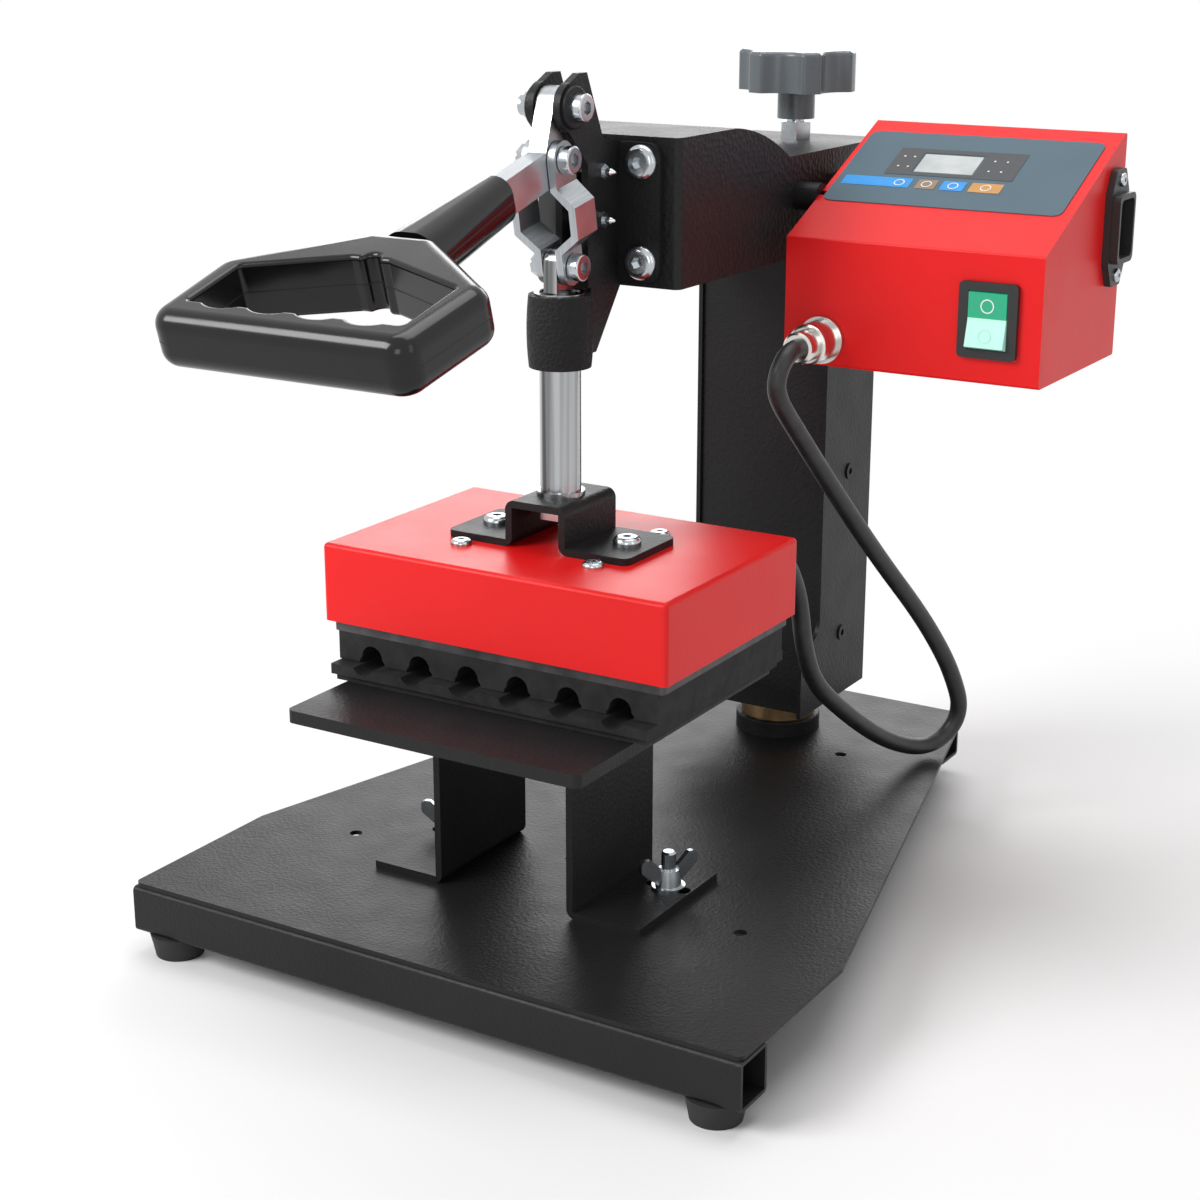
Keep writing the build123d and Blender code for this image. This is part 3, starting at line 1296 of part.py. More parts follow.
def cord_plug():
    y0 = BOX_FRONT_Y - SOCKET_RING_THICK
    nut_end = y0 - PLUG_NUT_LENGTH
    nut = long_pin(SOCKET_X, SOCKET_Z, nut_end, y0, PLUG_NUT_RADIUS)
    nut = fillet(nut.faces().sort_by(Axis.Y)[0].edges(), 1.2)
    tail = long_pin(SOCKET_X, SOCKET_Z, nut_end - PLUG_TAIL_LENGTH, nut_end, PLUG_TAIL_RADIUS)
    tail = chamfer(tail.faces().sort_by(Axis.Y)[0].edges(), 1.0)
    return nut + tail - long_pin(SOCKET_X, SOCKET_Z, y0 - 7.2, y0 + 1, SOCKET_BARREL_RADIUS + RUN_FIT)


def inlet_screw_levels():
    return (INLET_Z - INLET_SCREW_SPACING / 2, INLET_Z + INLET_SCREW_SPACING / 2)


def mains_inlet():
    """A three-pin appliance inlet with screw ears above and below."""
    wide, tall = INLET_FLANGE
    ear = wide * 0.5
    flange = outline(
        [
            (-ear / 2, -tall / 2),
            (ear / 2, -tall / 2),
            (wide / 2, -INLET_BODY[1] / 2),
            (wide / 2, INLET_BODY[1] / 2),
            (ear / 2, tall / 2),
            (-ear / 2, tall / 2),
            (-wide / 2, INLET_BODY[1] / 2),
            (-wide / 2, -INLET_BODY[1] / 2),
        ]
    )
    flange = Pos(INLET_Y, INLET_Z) * fillet(flange.vertices(), 2.0)
    x0 = BOX_RIGHT
    mouth_x = x0 + INLET_FLANGE_THICK + INLET_RIM
    shape = side_prism(flange, x0, x0 + INLET_FLANGE_THICK)
    rim = Pos(INLET_Y, INLET_Z) * RectangleRounded(INLET_BODY[0] - 0.6, INLET_BODY[1], 3.0)
    shape += side_prism(rim, x0 + INLET_FLANGE_THICK, mouth_x)
    can = Pos(INLET_Y, INLET_Z) * Rectangle(*INLET_BODY)
    shape += side_prism(can, x0 - INLET_BODY_DEPTH + INLET_RIM, x0)
    cavity = Pos(INLET_Y, INLET_Z) * RectangleRounded(INLET_CAVITY[0], INLET_CAVITY[1], 2.5)
    shape -= side_prism(cavity, mouth_x - INLET_CAVITY_DEPTH, mouth_x + 1)
    for z in inlet_screw_levels():
        shape -= cross_pin(INLET_Y, z, x0 - 1, x0 + INLET_FLANGE_THICK + 1, 1.5 + BOLT_CLEARANCE)
    for y, z in ((0, -7), (2.5, 0), (0, 7)):
        shape += block(
            mouth_x - INLET_CAVITY_DEPTH - 1,
            mouth_x - INLET_PIN_BELOW_RIM,
            INLET_Y + y - 2,
            INLET_Y + y + 2,
            INLET_Z + z - 1,
            INLET_Z + z + 1,
        )
    return shape


def inlet_screws():
    screws = []
    for z in inlet_screw_levels():
        screw = dome_screw(INLET_SCREW_RADIUS, 1.6, 1.5, INLET_FLANGE_THICK + BOX_SHEET + 2)
        screws.append(Pos(BOX_RIGHT + INLET_FLANGE_THICK, INLET_Y, z) * Rot(0, 90, 0) * screw)
    return Compound(screws)


# Head cord

def corner_radii(points):
    """For each corner, 0.45 of the shorter run over the tangent of half the turn."""
    radii = []
    for before, here, after in zip(points, points[1:], points[2:]):
        first = Vector(*here) - Vector(*before)
        second = Vector(*after) - Vector(*here)
        half_turn = math.radians(first.get_angle(second)) / 2
        radii.append(0.45 * min(first.length, second.length) / math.tan(half_turn))
    return radii


def head_cord():
    radii = corner_radii(CORD_POINTS)
    path = FilletPolyline(*CORD_POINTS, radius=radii)
    print("cord radii", [round(radius, 1) for radius in radii])
    print("cord length", round(path.length, 1))
    start = Plane(origin=CORD_POINTS[0], z_dir=Vector(*CORD_POINTS[1]) - Vector(*CORD_POINTS[0]))
    tube = sweep(start * Circle(CORD_RADIUS), path=path)
    print("cord volume ratio", round(tube.volume / (math.pi * CORD_RADIUS**2 * path.length), 4))
    return tube


NODES = {
    "base_plate": base_plate,
    "cross_tubes": cross_tubes,
    "rubber_feet": rubber_feet,
    "pivot_collar": pivot_collar,
    "pivot_bush": pivot_bush,
    "pivot_post": pivot_post,
    "pivot_nut": pivot_nut,
    "shelf_plate": shelf_plate,
    "stand_leg_left": lambda: stand_leg(-1),
    "stand_leg_right": lambda: stand_leg(1),
    "stand_studs": stand_studs,
    "wing_nut_left": lambda: wing_nut(-1),
    "wing_nut_right": lambda: wing_nut(1),
    "lower_pad_base": lower_pad_base,
    "lower_pad": lower_pad,
    "upper_pad": upper_pad,
    "heating_plate": heating_plate,
    "insulation_board": insulation_board,
    "head_cover": head_cover,
    "hat_bracket": hat_bracket,
    "head_screws": head_screws,
    "cord_gland": cord_gland,
    "plunger_rod": plunger_rod,
    "plunger_bolt": plunger_bolt,
    "link_bottom_bolt": link_bottom_bolt,
    "guide_bush": guide_bush,
    "guide_liner": guide_liner,
    "toggle_links": toggle_links,
    "lever_bar": lever_bar,
    "link_top_bolt": link_top_bolt,
    "grip_sleeve": grip_sleeve,
    "grip_top": lambda: grip_half(1),
    "grip_bottom": lambda: grip_half(-1),
    "clamp_plate_left": lambda: clamp_plate(-1),
    "clamp_plate_right": lambda: clamp_plate(1),
    "lever_pivot_bolt": lever_pivot_bolt,
    "clamp_bolts": clamp_bolts,
    "limit_switch": limit_switch,
    "switch_screws": switch_screws,
    "column_channel": column_channel,
    "column_front_plate": column_front_plate,
    "column_plugs": column_plugs,
    "beam_shell": beam_shell,
    "beam_floor": beam_floor,
    "knob_nut": knob_nut,
    "knob_screw": knob_screw,
    "pressure_knob": pressure_knob,
    "box_shell": box_shell,
    "box_back_cover": box_back_cover,
    "box_spacers": box_spacers,
    "panel_overlay": panel_overlay,
    "display_module": display_module,
    "control_board": control_board,
    "rocker_frame": rocker_frame,
    "rocker_button": rocker_button,
    "cord_socket": cord_socket,
    "cord_plug": cord_plug,
    "head_cord": head_cord,
    "mains_inlet": mains_inlet,
    "inlet_screws": inlet_screws,
}


os.makedirs("parts", exist_ok=True)
for name, build in NODES.items():
    export_step(build(), f"parts/{name}.step")
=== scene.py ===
import math

import bmesh
import bpy
from mathutils import Matrix, Vector


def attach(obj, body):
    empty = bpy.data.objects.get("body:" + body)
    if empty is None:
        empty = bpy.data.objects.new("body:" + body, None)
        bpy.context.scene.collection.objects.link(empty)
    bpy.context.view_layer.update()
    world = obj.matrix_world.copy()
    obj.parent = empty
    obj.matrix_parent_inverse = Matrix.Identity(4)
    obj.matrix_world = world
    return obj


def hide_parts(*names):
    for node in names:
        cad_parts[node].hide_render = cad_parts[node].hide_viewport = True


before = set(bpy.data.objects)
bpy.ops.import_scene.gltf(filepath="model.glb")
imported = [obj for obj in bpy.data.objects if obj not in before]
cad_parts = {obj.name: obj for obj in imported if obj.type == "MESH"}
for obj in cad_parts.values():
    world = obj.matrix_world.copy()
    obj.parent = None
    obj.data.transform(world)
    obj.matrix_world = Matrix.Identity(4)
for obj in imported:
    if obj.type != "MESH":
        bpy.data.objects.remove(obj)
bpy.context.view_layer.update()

bl_info = {
    "name": "Pen Heat Press",
    "version": (1, 0, 0),
    "blender": (4, 5, 0),
    "location": "3D View > Sidebar > Press",
    "description": "Finishes and printed details for a small pen heat press",
    "category": "Object",
}

# Metres throughout. The camera looks from the user's right, a little above the lever.
IMAGE_PIXELS = 1200
FOCAL_PIXELS = 2230.4
SENSOR_WIDTH = 36.0
CAMERA_PLACE = (0.4658, -0.7322, 0.4208)
CAMERA_AIM = (0.0027, 0.0257, 0.1428)
CAMERA_FAR = 20.0

# The sloping face of the control box
BOX_FRONT = 0.1076
BOX_REAR = 0.1963
BOX_RIDGE = 0.2873
BOX_TOP = 0.3289
PANEL_SLOPE = math.atan2(BOX_TOP - BOX_RIDGE, BOX_REAR - BOX_FRONT)
FILM_TOP = 0.0004
PRINT_LIFT = 0.00005
PRINT_THICK = 0.00008
WINDOW_LEFT = 0.0660
WINDOW_RIGHT = 0.1240
WINDOW_LOW = 0.0525
WINDOW_HIGH = 0.0740
WINDOW_CORNER = 0.0006
SQUARE_CORNER = 0.00002
DISPLAY_CENTRE = (0.0918, 0.0628)
DISPLAY_HALF = (0.0138, 0.0077)
DISPLAY_GAP = 0.0003
KEY_LOW = 0.0425
KEY_HIGH = 0.0496
KEY_CORNER = 0.0005
KEY_RING_WIDTH = 0.00045
LONG_KEY_RING_INSET = 0.0052
KEYS = (
    ("key_blue_long", 0.0500, 0.0812, "blue"),
    ("key_brown", 0.0840, 0.0928, "brown"),
    ("key_blue", 0.0952, 0.1056, "blue"),
    ("key_orange", 0.1080, 0.1220, "orange"),
)
DOT_ROWS = (0.0590, 0.0670)
DOT_COLUMNS = (0.0700, 0.0745, 0.1112, 0.1168)

# Rocker switch
ROCKER_CENTRE = (0.1358, 0.1076, 0.2603)
ROCKER_FACE_OUT = 0.0026
ROCKER_LEAN = math.radians(16.0)
ROCKER_SPLIT_RISE = 0.001
MARK_HEIGHT = 0.0060
OFF_RING_WIDTH = 0.0005
ON_RING_WIDTH = 0.0004

# Lever and grip: the bar's line and the angle it slopes down at
GRIP_START = (-0.0425, 0.3156)
GRIP_SLOPE = math.radians(15.7)
SEAM_HALF_WIDTH = 0.00035

# Floor: where it starts to fade to white, and over what distance
FLOOR_HALF = 6.0
FADE_CENTRE = (0.02, 0.03)
FADE_START = 0.28
FADE_LENGTH = 0.30

# Lamps: place, aim, width and height, and watts
LAMPS = {
    "key": ((-1.1, -1.5, 1.5), (0.0, 0.0, 0.15), (1.2, 1.0), 42.0),
    "side": ((2.0, -0.4, 0.9), (0.0, 0.05, 0.2), (0.5, 1.4), 3.0),
    "top": ((0.0, 0.4, 2.0), (0.0, 0.1, 0.2), (1.6, 1.0), 16.0),
    "rear": ((-0.9, 2.4, 1.1), (0.0, 0.0, 0.2), (2.4, 1.0), 26.0),
    "front": ((0.9, -1.9, 0.7), (0.0, 0.0, 0.2), (0.6, 0.9), 5.0),
}
SURROUND_LIGHT = 0.28
WHITE = (1.0, 1.0, 1.0, 1.0)

# Knob: its axis, and the radius and half width of each turned ring
KNOB_AXIS = (0.0, 0.202)
KNOB_RINGS = ((0.0075, 0.0006), (0.0135, 0.0005))

# Head cord
CORD_DIAMETER = 0.008
CORD_POINTS = (
    (0.0625, 0.0826, 0.2455),
    (0.0625, 0.0760, 0.2455),
    (0.0615, 0.0685, 0.2385),
    (0.0605, 0.0685, 0.2285),
    (0.0628, 0.0815, 0.2130),
    (0.0690, 0.1100, 0.1795),
    (0.0760, 0.1440, 0.1420),
    (0.0830, 0.1750, 0.1100),
    (0.0883, 0.1950, 0.0840),
    (0.0908, 0.2050, 0.0660),
    (0.0910, 0.2100, 0.0550),
    (0.0890, 0.2088, 0.0455),
    (0.0845, 0.2025, 0.0390),
    (0.0795, 0.1930, 0.0374),
    (0.0745, 0.1760, 0.0435),
    (0.0705, 0.1550, 0.0555),
    (0.0665, 0.1300, 0.0735),
    (0.0630, 0.1080, 0.0920),
    (0.0615, 0.0990, 0.1120),
    (0.0605, 0.0965, 0.1320),
    (0.0600, 0.0880, 0.1490),
    (0.0600, 0.0760, 0.1580),
    (0.0600, 0.0620, 0.1580),
)


# Shader writing

class Value:
    """A socket that takes part in Python arithmetic."""

    def __init__(self, nodes, socket):
        self.nodes = nodes
        self.socket = socket

    def join(self, operation, first, second):
        node = self.nodes.node("ShaderNodeMath", {"operation": operation}, {0: first, 1: second})
        return Value(self.nodes, node.outputs[0])

    def __add__(self, other):
        return self.join("ADD", self, other)

    def __radd__(self, other):
        return self.join("ADD", other, self)

    def __sub__(self, other):
        return self.join("SUBTRACT", self, other)

    def __rsub__(self, other):
        return self.join("SUBTRACT", other, self)

    def __mul__(self, other):
        return self.join("MULTIPLY", self, other)

    def __rmul__(self, other):
        return self.join("MULTIPLY", other, self)

    def __truediv__(self, other):
        return self.join("DIVIDE", self, other)

    def __pow__(self, other):
        return self.join("POWER", self, other)

    def __abs__(self):
        return self.join("ABSOLUTE", self, 0.0)

    def below(self, limit):
        return self.join("LESS_THAN", self, limit)

    def above(self, limit):
        return self.join("GREATER_THAN", self, limit)

    def clamped(self):
        return self.join("MAXIMUM", self.join("MINIMUM", self, 1.0), 0.0)


class Nodes:
    """A node tree that is being written."""

    def __init__(self, tree):
        self.tree = tree

    def node(self, kind, settings=None, inputs=None):
        """Adds a node: its settings first, then values or links for its sockets."""
        made = self.tree.nodes.new(kind)
        for name, value in (settings or {}).items():
            if name == "ramp":
                while len(made.color_ramp.elements) < len(value):
                    made.color_ramp.elements.new(0.5)
                for element, (place, color) in zip(made.color_ramp.elements, value):
                    element.position = place
                    element.color = (*color, 1.0)
            else:
                setattr(made, name, value)
        for key, value in (inputs or {}).items():
            self.feed(made.inputs[key], value)
        return made

    def feed(self, socket, value):
        if isinstance(value, Value):
            self.tree.links.new(value.socket, socket)
        elif isinstance(value, bpy.types.NodeSocket):
            self.tree.links.new(value, socket)
        else:
            socket.default_value = value


class Finish(Nodes):
    """One material under construction."""

    def __init__(self, name, color, roughness, metallic=0.0):
        self.material = bpy.data.materials.new(name)
        self.material.use_nodes = True
        super().__init__(self.material.node_tree)
        self.shader = self.tree.nodes["Principled BSDF"]
        self.set("Base Color", (*color, 1.0))
        self.set("Roughness", roughness)
        self.set("Metallic", metallic)
        self.material.diffuse_color = (*color, 1.0)

    def set(self, socket, value):
        self.shader.inputs[socket].default_value = value

    def place(self, scale=(1, 1, 1)):
        """Object coordinates, scaled."""
        source = self.node("ShaderNodeTexCoord")
        settings = {"vector_type": "POINT"}
        inputs = {"Vector": source.outputs["Object"], "Scale": scale}
        return self.node("ShaderNodeMapping", settings, inputs).outputs[0]

    def axes(self):
        """The three object coordinates as values, in metres."""
        split = self.node("ShaderNodeSeparateXYZ", inputs={0: self.place()})
        return [Value(self, socket) for socket in split.outputs]

    def noise(self, scale, detail=2.0, vector=None):
        inputs = {"Vector": vector or self.place(), "Scale": scale, "Detail": detail}
        return Value(self, self.node("ShaderNodeTexNoise", inputs=inputs).outputs["Fac"])

    def cells(self, scale):
        inputs = {"Vector": self.place(), "Scale": scale}
        return Value(self, self.node("ShaderNodeTexVoronoi", inputs=inputs).outputs["Distance"])

    def tint(self, factor, stops):
        """Drives the base colour from a value through a ramp."""
        ramp = self.node("ShaderNodeValToRGB", {"ramp": stops}, {"Fac": factor})
        self.feed(self.shader.inputs["Base Color"], ramp.outputs["Color"])

    def blend_color(self, factor, first, second):
        """Mixes two colours, each a tuple or a socket."""
        node = self.node("ShaderNodeMix", {"data_type": "RGBA"}, {"Factor": factor})
        for socket, color in ((node.inputs[6], first), (node.inputs[7], second)):
            self.feed(socket, (*color, 1.0) if isinstance(color, tuple) else color)
        return node.outputs[2]

    def bump(self, height, depth, strength):
        """Raises the surface by depth metres where the height value is 1."""
        inputs = {"Height": height, "Distance": depth, "Strength": strength}
        node = self.node("ShaderNodeBump", inputs=inputs)
        self.feed(self.shader.inputs["Normal"], node.outputs["Normal"])


def clouded(color, spread):
    """Two stops either side of a colour."""
    dark = tuple(channel * (1 - spread) for channel in color)
    light = tuple(min(channel * (1 + spread), 1.0) for channel in color)
    return ((0.3, dark), (0.7, light))


# Finishes, one function each

def black_powder_coat():
    color = tuple(colors().coat_black)
    finish = Finish("black_powder_coat", color, 0.42)
    finish.tint(finish.noise(18.0, 3.0), clouded(color, 0.18))
    wear = finish.noise(60.0, 4.0)
    finish.feed(finish.shader.inputs["Roughness"], 0.36 + wear * 0.16)
    finish.bump(finish.noise(900.0, 2.0) + finish.cells(520.0) * 0.7, 0.00022, 0.55)
    finish.set("Specular IOR Level", 0.22)
    return finish.material


def beam_powder_coat():
    """The beam's coat has the same black over a coarser grain."""
    color = tuple(colors().coat_black)
    finish = Finish("beam_powder_coat", color, 0.45)
    finish.tint(finish.noise(14.0, 3.0), clouded(color, 0.2))
    finish.feed(finish.shader.inputs["Roughness"], 0.40 + finish.noise(45.0) * 0.14)
    finish.bump(finish.cells(430.0) + finish.noise(700.0) * 0.5, 0.00035, 0.7)
    finish.set("Specular IOR Level", 0.22)
    return finish.material


def red_powder_coat():
    color = tuple(colors().coat_red)
    finish = Finish("red_powder_coat", color, 0.36)
    finish.tint(finish.noise(9.0, 2.0), clouded(color, 0.04))
    finish.feed(finish.shader.inputs["Roughness"], 0.33 + finish.noise(40.0) * 0.10)
    finish.bump(finish.noise(520.0, 2.0) + finish.cells(340.0) * 0.4, 0.00014, 0.35)
    finish.set("Specular IOR Level", 0.25)
    return finish.material


def foot_rubber():
    finish = Finish("foot_rubber", (0.013, 0.013, 0.014), 0.75)
    finish.tint(finish.noise(120.0), clouded((0.013, 0.013, 0.014), 0.3))
    finish.bump(finish.noise(900.0), 0.0001, 0.4)
    return finish.material


def crinkled_sleeve():
    """The guide's rough black coat catches small bright flecks."""
    finish = Finish("crinkled_sleeve", (0.014, 0.014, 0.015), 0.5)
    grain = finish.cells(650.0)
    finish.feed(finish.shader.inputs["Roughness"], 0.32 + finish.noise(300.0) * 0.4)
    finish.bump(grain + finish.noise(1100.0, 3.0), 0.0005, 0.8)
    finish.set("Specular IOR Level", 0.15)
    return finish.material


def pad_sponge():
    finish = Finish("pad_sponge", (0.016, 0.016, 0.017), 0.7)
    finish.tint(finish.noise(150.0, 3.0), clouded((0.017, 0.017, 0.018), 0.35))
    pores = finish.cells(1400.0).below(0.22)
    finish.bump(finish.noise(500.0) - pores * 0.5, 0.00018, 0.6)
    finish.set("Specular IOR Level", 0.25)
    return finish.material


def bronze():
    finish = Finish("bronze", (0.36, 0.23, 0.11), 0.34, 1.0)
    finish.tint(finish.noise(80.0, 4.0), ((0.3, (0.20, 0.12, 0.05)), (0.7, (0.46, 0.31, 0.16))))
    rings = finish.place((60.0, 60.0, 2600.0))
    finish.bump(finish.noise(1.0, 2.0, vector=rings), 0.00006, 0.5)
    return finish.material


def zinc_plate():
    finish = Finish("zinc_plate", (0.55, 0.58, 0.60), 0.22, 1.0)
    finish.tint(finish.noise(120.0, 3.0), ((0.3, (0.42, 0.45, 0.47)), (0.7, (0.52, 0.55, 0.57))))
    finish.feed(finish.shader.inputs["Roughness"], 0.17 + finish.noise(260.0, 3.0) * 0.10)
    finish.bump(finish.noise(900.0), 0.00001, 0.3)
    return finish.material


def rolled_bar():
    """The lever and links: zinc over bar stock with a faint grain along its length."""
    finish = Finish("rolled_bar", (0.52, 0.54, 0.56), 0.3, 1.0)
    stretched = finish.place((1500.0, 60.0, 60.0))
    grain = finish.noise(1.0, 3.0, vector=stretched)
    finish.tint(grain, ((0.3, (0.38, 0.40, 0.42)), (0.7, (0.48, 0.50, 0.52))))
    finish.feed(finish.shader.inputs["Roughness"], 0.24 + grain * 0.16)
    finish.bump(grain, 0.00003, 0.4)
    return finish.material


def ground_steel():
    finish = Finish("ground_steel", (0.27, 0.27, 0.275), 0.2, 1.0)
    rings = finish.place((25.0, 25.0, 3500.0))
    grain = finish.noise(1.0, 2.0, vector=rings)
    # Painted reflection: dark and light bands running along the length stand in for the surroundings
    # mirrored in the polished steel.
    painted_reflection_bands = finish.noise(1.0, 1.0, vector=finish.place((260.0, 260.0, 3.0)))
    finish.tint(painted_reflection_bands, ((0.36, (0.10, 0.10, 0.10)), (0.62, (0.46, 0.47, 0.48))))
    finish.feed(finish.shader.inputs["Roughness"], 0.12 + grain * 0.12)
    finish.bump(grain, 0.00002, 0.4)
    return finish.material


def heater_metal():
    finish = Finish("heater_metal", (0.05, 0.05, 0.052), 0.4, 0.6)
    finish.tint(finish.noise(90.0, 3.0), ((0.3, (0.035, 0.035, 0.037)), (0.7, (0.10, 0.09, 0.09))))
    finish.bump(finish.noise(600.0), 0.00008, 0.4)
    return finish.material


def mineral_board():
    finish = Finish("mineral_board", (0.62, 0.60, 0.54), 0.9)
    finish.tint(finish.noise(300.0, 4.0), clouded((0.62, 0.60, 0.54), 0.15))
    finish.bump(finish.noise(900.0, 4.0), 0.0004, 0.6)
    return finish.material


def moulded_grip():
    """Polished black plastic, with a fine line where the two halves meet."""
    finish = Finish("moulded_grip", (0.004, 0.004, 0.005), 0.16)
    _, y, z = finish.axes()
    across = (z - GRIP_START[1]) * math.cos(GRIP_SLOPE) - (y - GRIP_START[0]) * math.sin(GRIP_SLOPE)
    seam = abs(across).below(SEAM_HALF_WIDTH)
    ripple = finish.noise(55.0, 2.0)
    finish.feed(finish.shader.inputs["Roughness"], 0.12 + ripple * 0.12 + seam * 0.3)
    finish.bump(ripple * 0.15 - seam, 0.0003, 0.4)
    finish.set("Specular IOR Level", 0.36)
    return finish.material


def knob_plastic():
    """Grey moulding with shallow turned rings round its middle."""
    finish = Finish("knob_plastic", tuple(colors().knob_grey), 0.22)
    x, y, _ = finish.axes()
    radius = ((x - KNOB_AXIS[0]) ** 2.0 + (y - KNOB_AXIS[1]) ** 2.0) ** 0.5
    inner, outer = (abs(radius - middle).below(half) for middle, half in KNOB_RINGS)
    finish.feed(finish.shader.inputs["Roughness"], 0.18 + finish.noise(90.0) * 0.14)
    finish.bump(inner + outer + finish.noise(300.0) * 0.15, 0.0003, 0.6)
    return finish.material


def matt_plastic():
    finish = Finish("matt_plastic", (0.016, 0.016, 0.017), 0.45)
    finish.feed(finish.shader.inputs["Roughness"], 0.38 + finish.noise(200.0) * 0.18)
    finish.bump(finish.noise(1600.0), 0.00005, 0.5)
    return finish.material


def panel_print():
    color = tuple(colors().panel_blue)
    finish = Finish("panel_print", color, 0.5)
    finish.tint(finish.noise(25.0), clouded(color, 0.06))
    finish.bump(finish.noise(1800.0), 0.00003, 0.4)
    return finish.material


def floor_paint():
    """Pale paint that fades to plain white well away from the press."""
    finish = Finish("floor_paint", (0.86, 0.86, 0.86), 0.6)
    finish.set("Specular IOR Level", 0.1)
    x, y, _ = finish.axes()
    away = ((x - FADE_CENTRE[0]) ** 2.0 + (y - FADE_CENTRE[1]) ** 2.0) ** 0.5
    faded = ((away - FADE_START) / FADE_LENGTH).clamped()
    white = finish.node("ShaderNodeEmission", inputs={"Color": WHITE})
    shaders = {0: faded * seen_rays(finish), 1: finish.shader.outputs[0], 2: white.outputs[0]}
    mix = finish.node("ShaderNodeMixShader", inputs=shaders)
    finish.feed(finish.tree.nodes["Material Output"].inputs["Surface"], mix.outputs[0])
    return finish.material


def printed(name, color, roughness=0.45):
    finish = Finish(name, color, roughness)
    finish.tint(finish.noise(160.0), clouded(color, 0.07))
    finish.bump(finish.noise(1800.0), 0.00002, 0.3)
    return finish.material


def display_glass():
    """A pale liquid crystal behind gloss, its tone clouded at random."""
    finish = Finish("display_glass", (0.50, 0.53, 0.53), 0.12)
    finish.tint(finish.noise(70.0), ((0.3, (0.42, 0.45, 0.46)), (0.7, (0.60, 0.62, 0.62))))
    finish.set("Coat Weight", 0.6)
    finish.bump(finish.noise(400.0), 0.00001, 0.2)
    return finish.material


def circuit_board():
    finish = Finish("circuit_board", (0.02, 0.14, 0.05), 0.4)
    tracks = finish.cells(220.0).below(0.35)
    mixed = finish.blend_color(tracks, (0.02, 0.14, 0.05), (0.03, 0.24, 0.09))
    finish.feed(finish.shader.inputs["Base Color"], mixed)
    finish.bump(tracks, 0.00005, 0.5)
    return finish.material


def lit_rocker():
    """Clear green plastic with a lamp inside, brighter towards the lower half."""
    color = tuple(colors().rocker_green)
    finish = Finish("lit_rocker", color, 0.15)
    _, _, z = finish.axes()
    low = (ROCKER_CENTRE[2] + ROCKER_SPLIT_RISE - z).above(0.0)
    mixed = finish.blend_color(low, color, (0.42, 0.80, 0.66))
    finish.feed(finish.shader.inputs["Base Color"], mixed)
    finish.feed(finish.shader.inputs["Emission Color"], mixed)
    finish.set("Emission Strength", 0.25)
    finish.set("Coat Weight", 0.5)
    finish.bump(finish.noise(500.0), 0.00002, 0.3)
    return finish.material


def nickel():
    finish = Finish("nickel", (0.68, 0.66, 0.63), 0.2, 1.0)
    rings = finish.place((120.0, 900.0, 120.0))
    grain = finish.noise(1.0, 2.0, vector=rings)
    finish.tint(grain, ((0.3, (0.56, 0.54, 0.51)), (0.7, (0.76, 0.74, 0.71))))
    finish.feed(finish.shader.inputs["Roughness"], 0.14 + grain * 0.14)
    finish.bump(grain, 0.00012, 0.4)
    return finish.material


def cord_sheath():
    finish = Finish("cord_sheath", (0.012, 0.012, 0.013), 0.42)
    finish.tint(finish.noise(200.0, 3.0), clouded((0.014, 0.014, 0.015), 0.3))
    finish.feed(finish.shader.inputs["Roughness"], 0.36 + finish.noise(120.0) * 0.2)
    finish.bump(finish.noise(900.0, 3.0), 0.00015, 0.6)
    return finish.material


FINISH_NODES = {
    black_powder_coat: (
        "base_plate", "cross_tubes", "column_channel", "column_front_plate", "column_plugs",
        "clamp_plate_left", "clamp_plate_right", "hat_bracket", "shelf_plate",
        "stand_leg_left", "stand_leg_right", "pivot_collar", "box_spacers",
    ),
    beam_powder_coat: ("beam_shell", "beam_floor"),
    red_powder_coat: ("head_cover", "box_shell", "box_back_cover"),
    foot_rubber: ("rubber_feet",),
    crinkled_sleeve: ("guide_bush",),
    pad_sponge: ("lower_pad", "lower_pad_base", "upper_pad"),
    bronze: ("pivot_bush",),
    zinc_plate: (
        "pivot_post", "pivot_nut", "stand_studs", "wing_nut_left", "wing_nut_right", "head_screws",
        "plunger_bolt", "link_bottom_bolt", "link_top_bolt", "lever_pivot_bolt", "clamp_bolts",
        "switch_screws", "knob_nut", "knob_screw", "inlet_screws",
    ),
    rolled_bar: ("toggle_links", "lever_bar"),
    ground_steel: ("plunger_rod", "guide_liner"),
    heater_metal: ("heating_plate",),
    mineral_board: ("insulation_board",),
    moulded_grip: ("grip_sleeve", "grip_top", "grip_bottom"),
    knob_plastic: ("pressure_knob",),
    matt_plastic: ("limit_switch", "rocker_frame", "mains_inlet", "cord_gland"),
    panel_print: ("panel_overlay",),
    display_glass: ("display_module",),
    circuit_board: ("control_board",),
    lit_rocker: ("rocker_button",),
    nickel: ("cord_socket", "cord_plug"),
}


# Settings

class PressColors(bpy.types.PropertyGroup):
    coat_red: bpy.props.FloatVectorProperty(
        name="Red coat", description="Powder coat of the head and the control box",
        default=(0.80, 0.009, 0.010), size=3, min=0.0, max=1.0, subtype="COLOR",
    )
    coat_black: bpy.props.FloatVectorProperty(
        name="Black coat", description="Powder coat of the base, column and beam",
        default=(0.011, 0.011, 0.012), size=3, min=0.0, max=1.0, subtype="COLOR",
    )
    knob_grey: bpy.props.FloatVectorProperty(
        name="Knob grey", description="Plastic of the pressure knob",
        default=(0.105, 0.120, 0.132), size=3, min=0.0, max=1.0, subtype="COLOR",
    )
    panel_blue: bpy.props.FloatVectorProperty(
        name="Panel blue", description="Printed film on the control box",
        default=(0.040, 0.088, 0.120), size=3, min=0.0, max=1.0, subtype="COLOR",
    )
    rocker_green: bpy.props.FloatVectorProperty(
        name="Rocker green", description="Plastic of the power switch",
        default=(0.0, 0.33, 0.17), size=3, min=0.0, max=1.0, subtype="COLOR",
    )


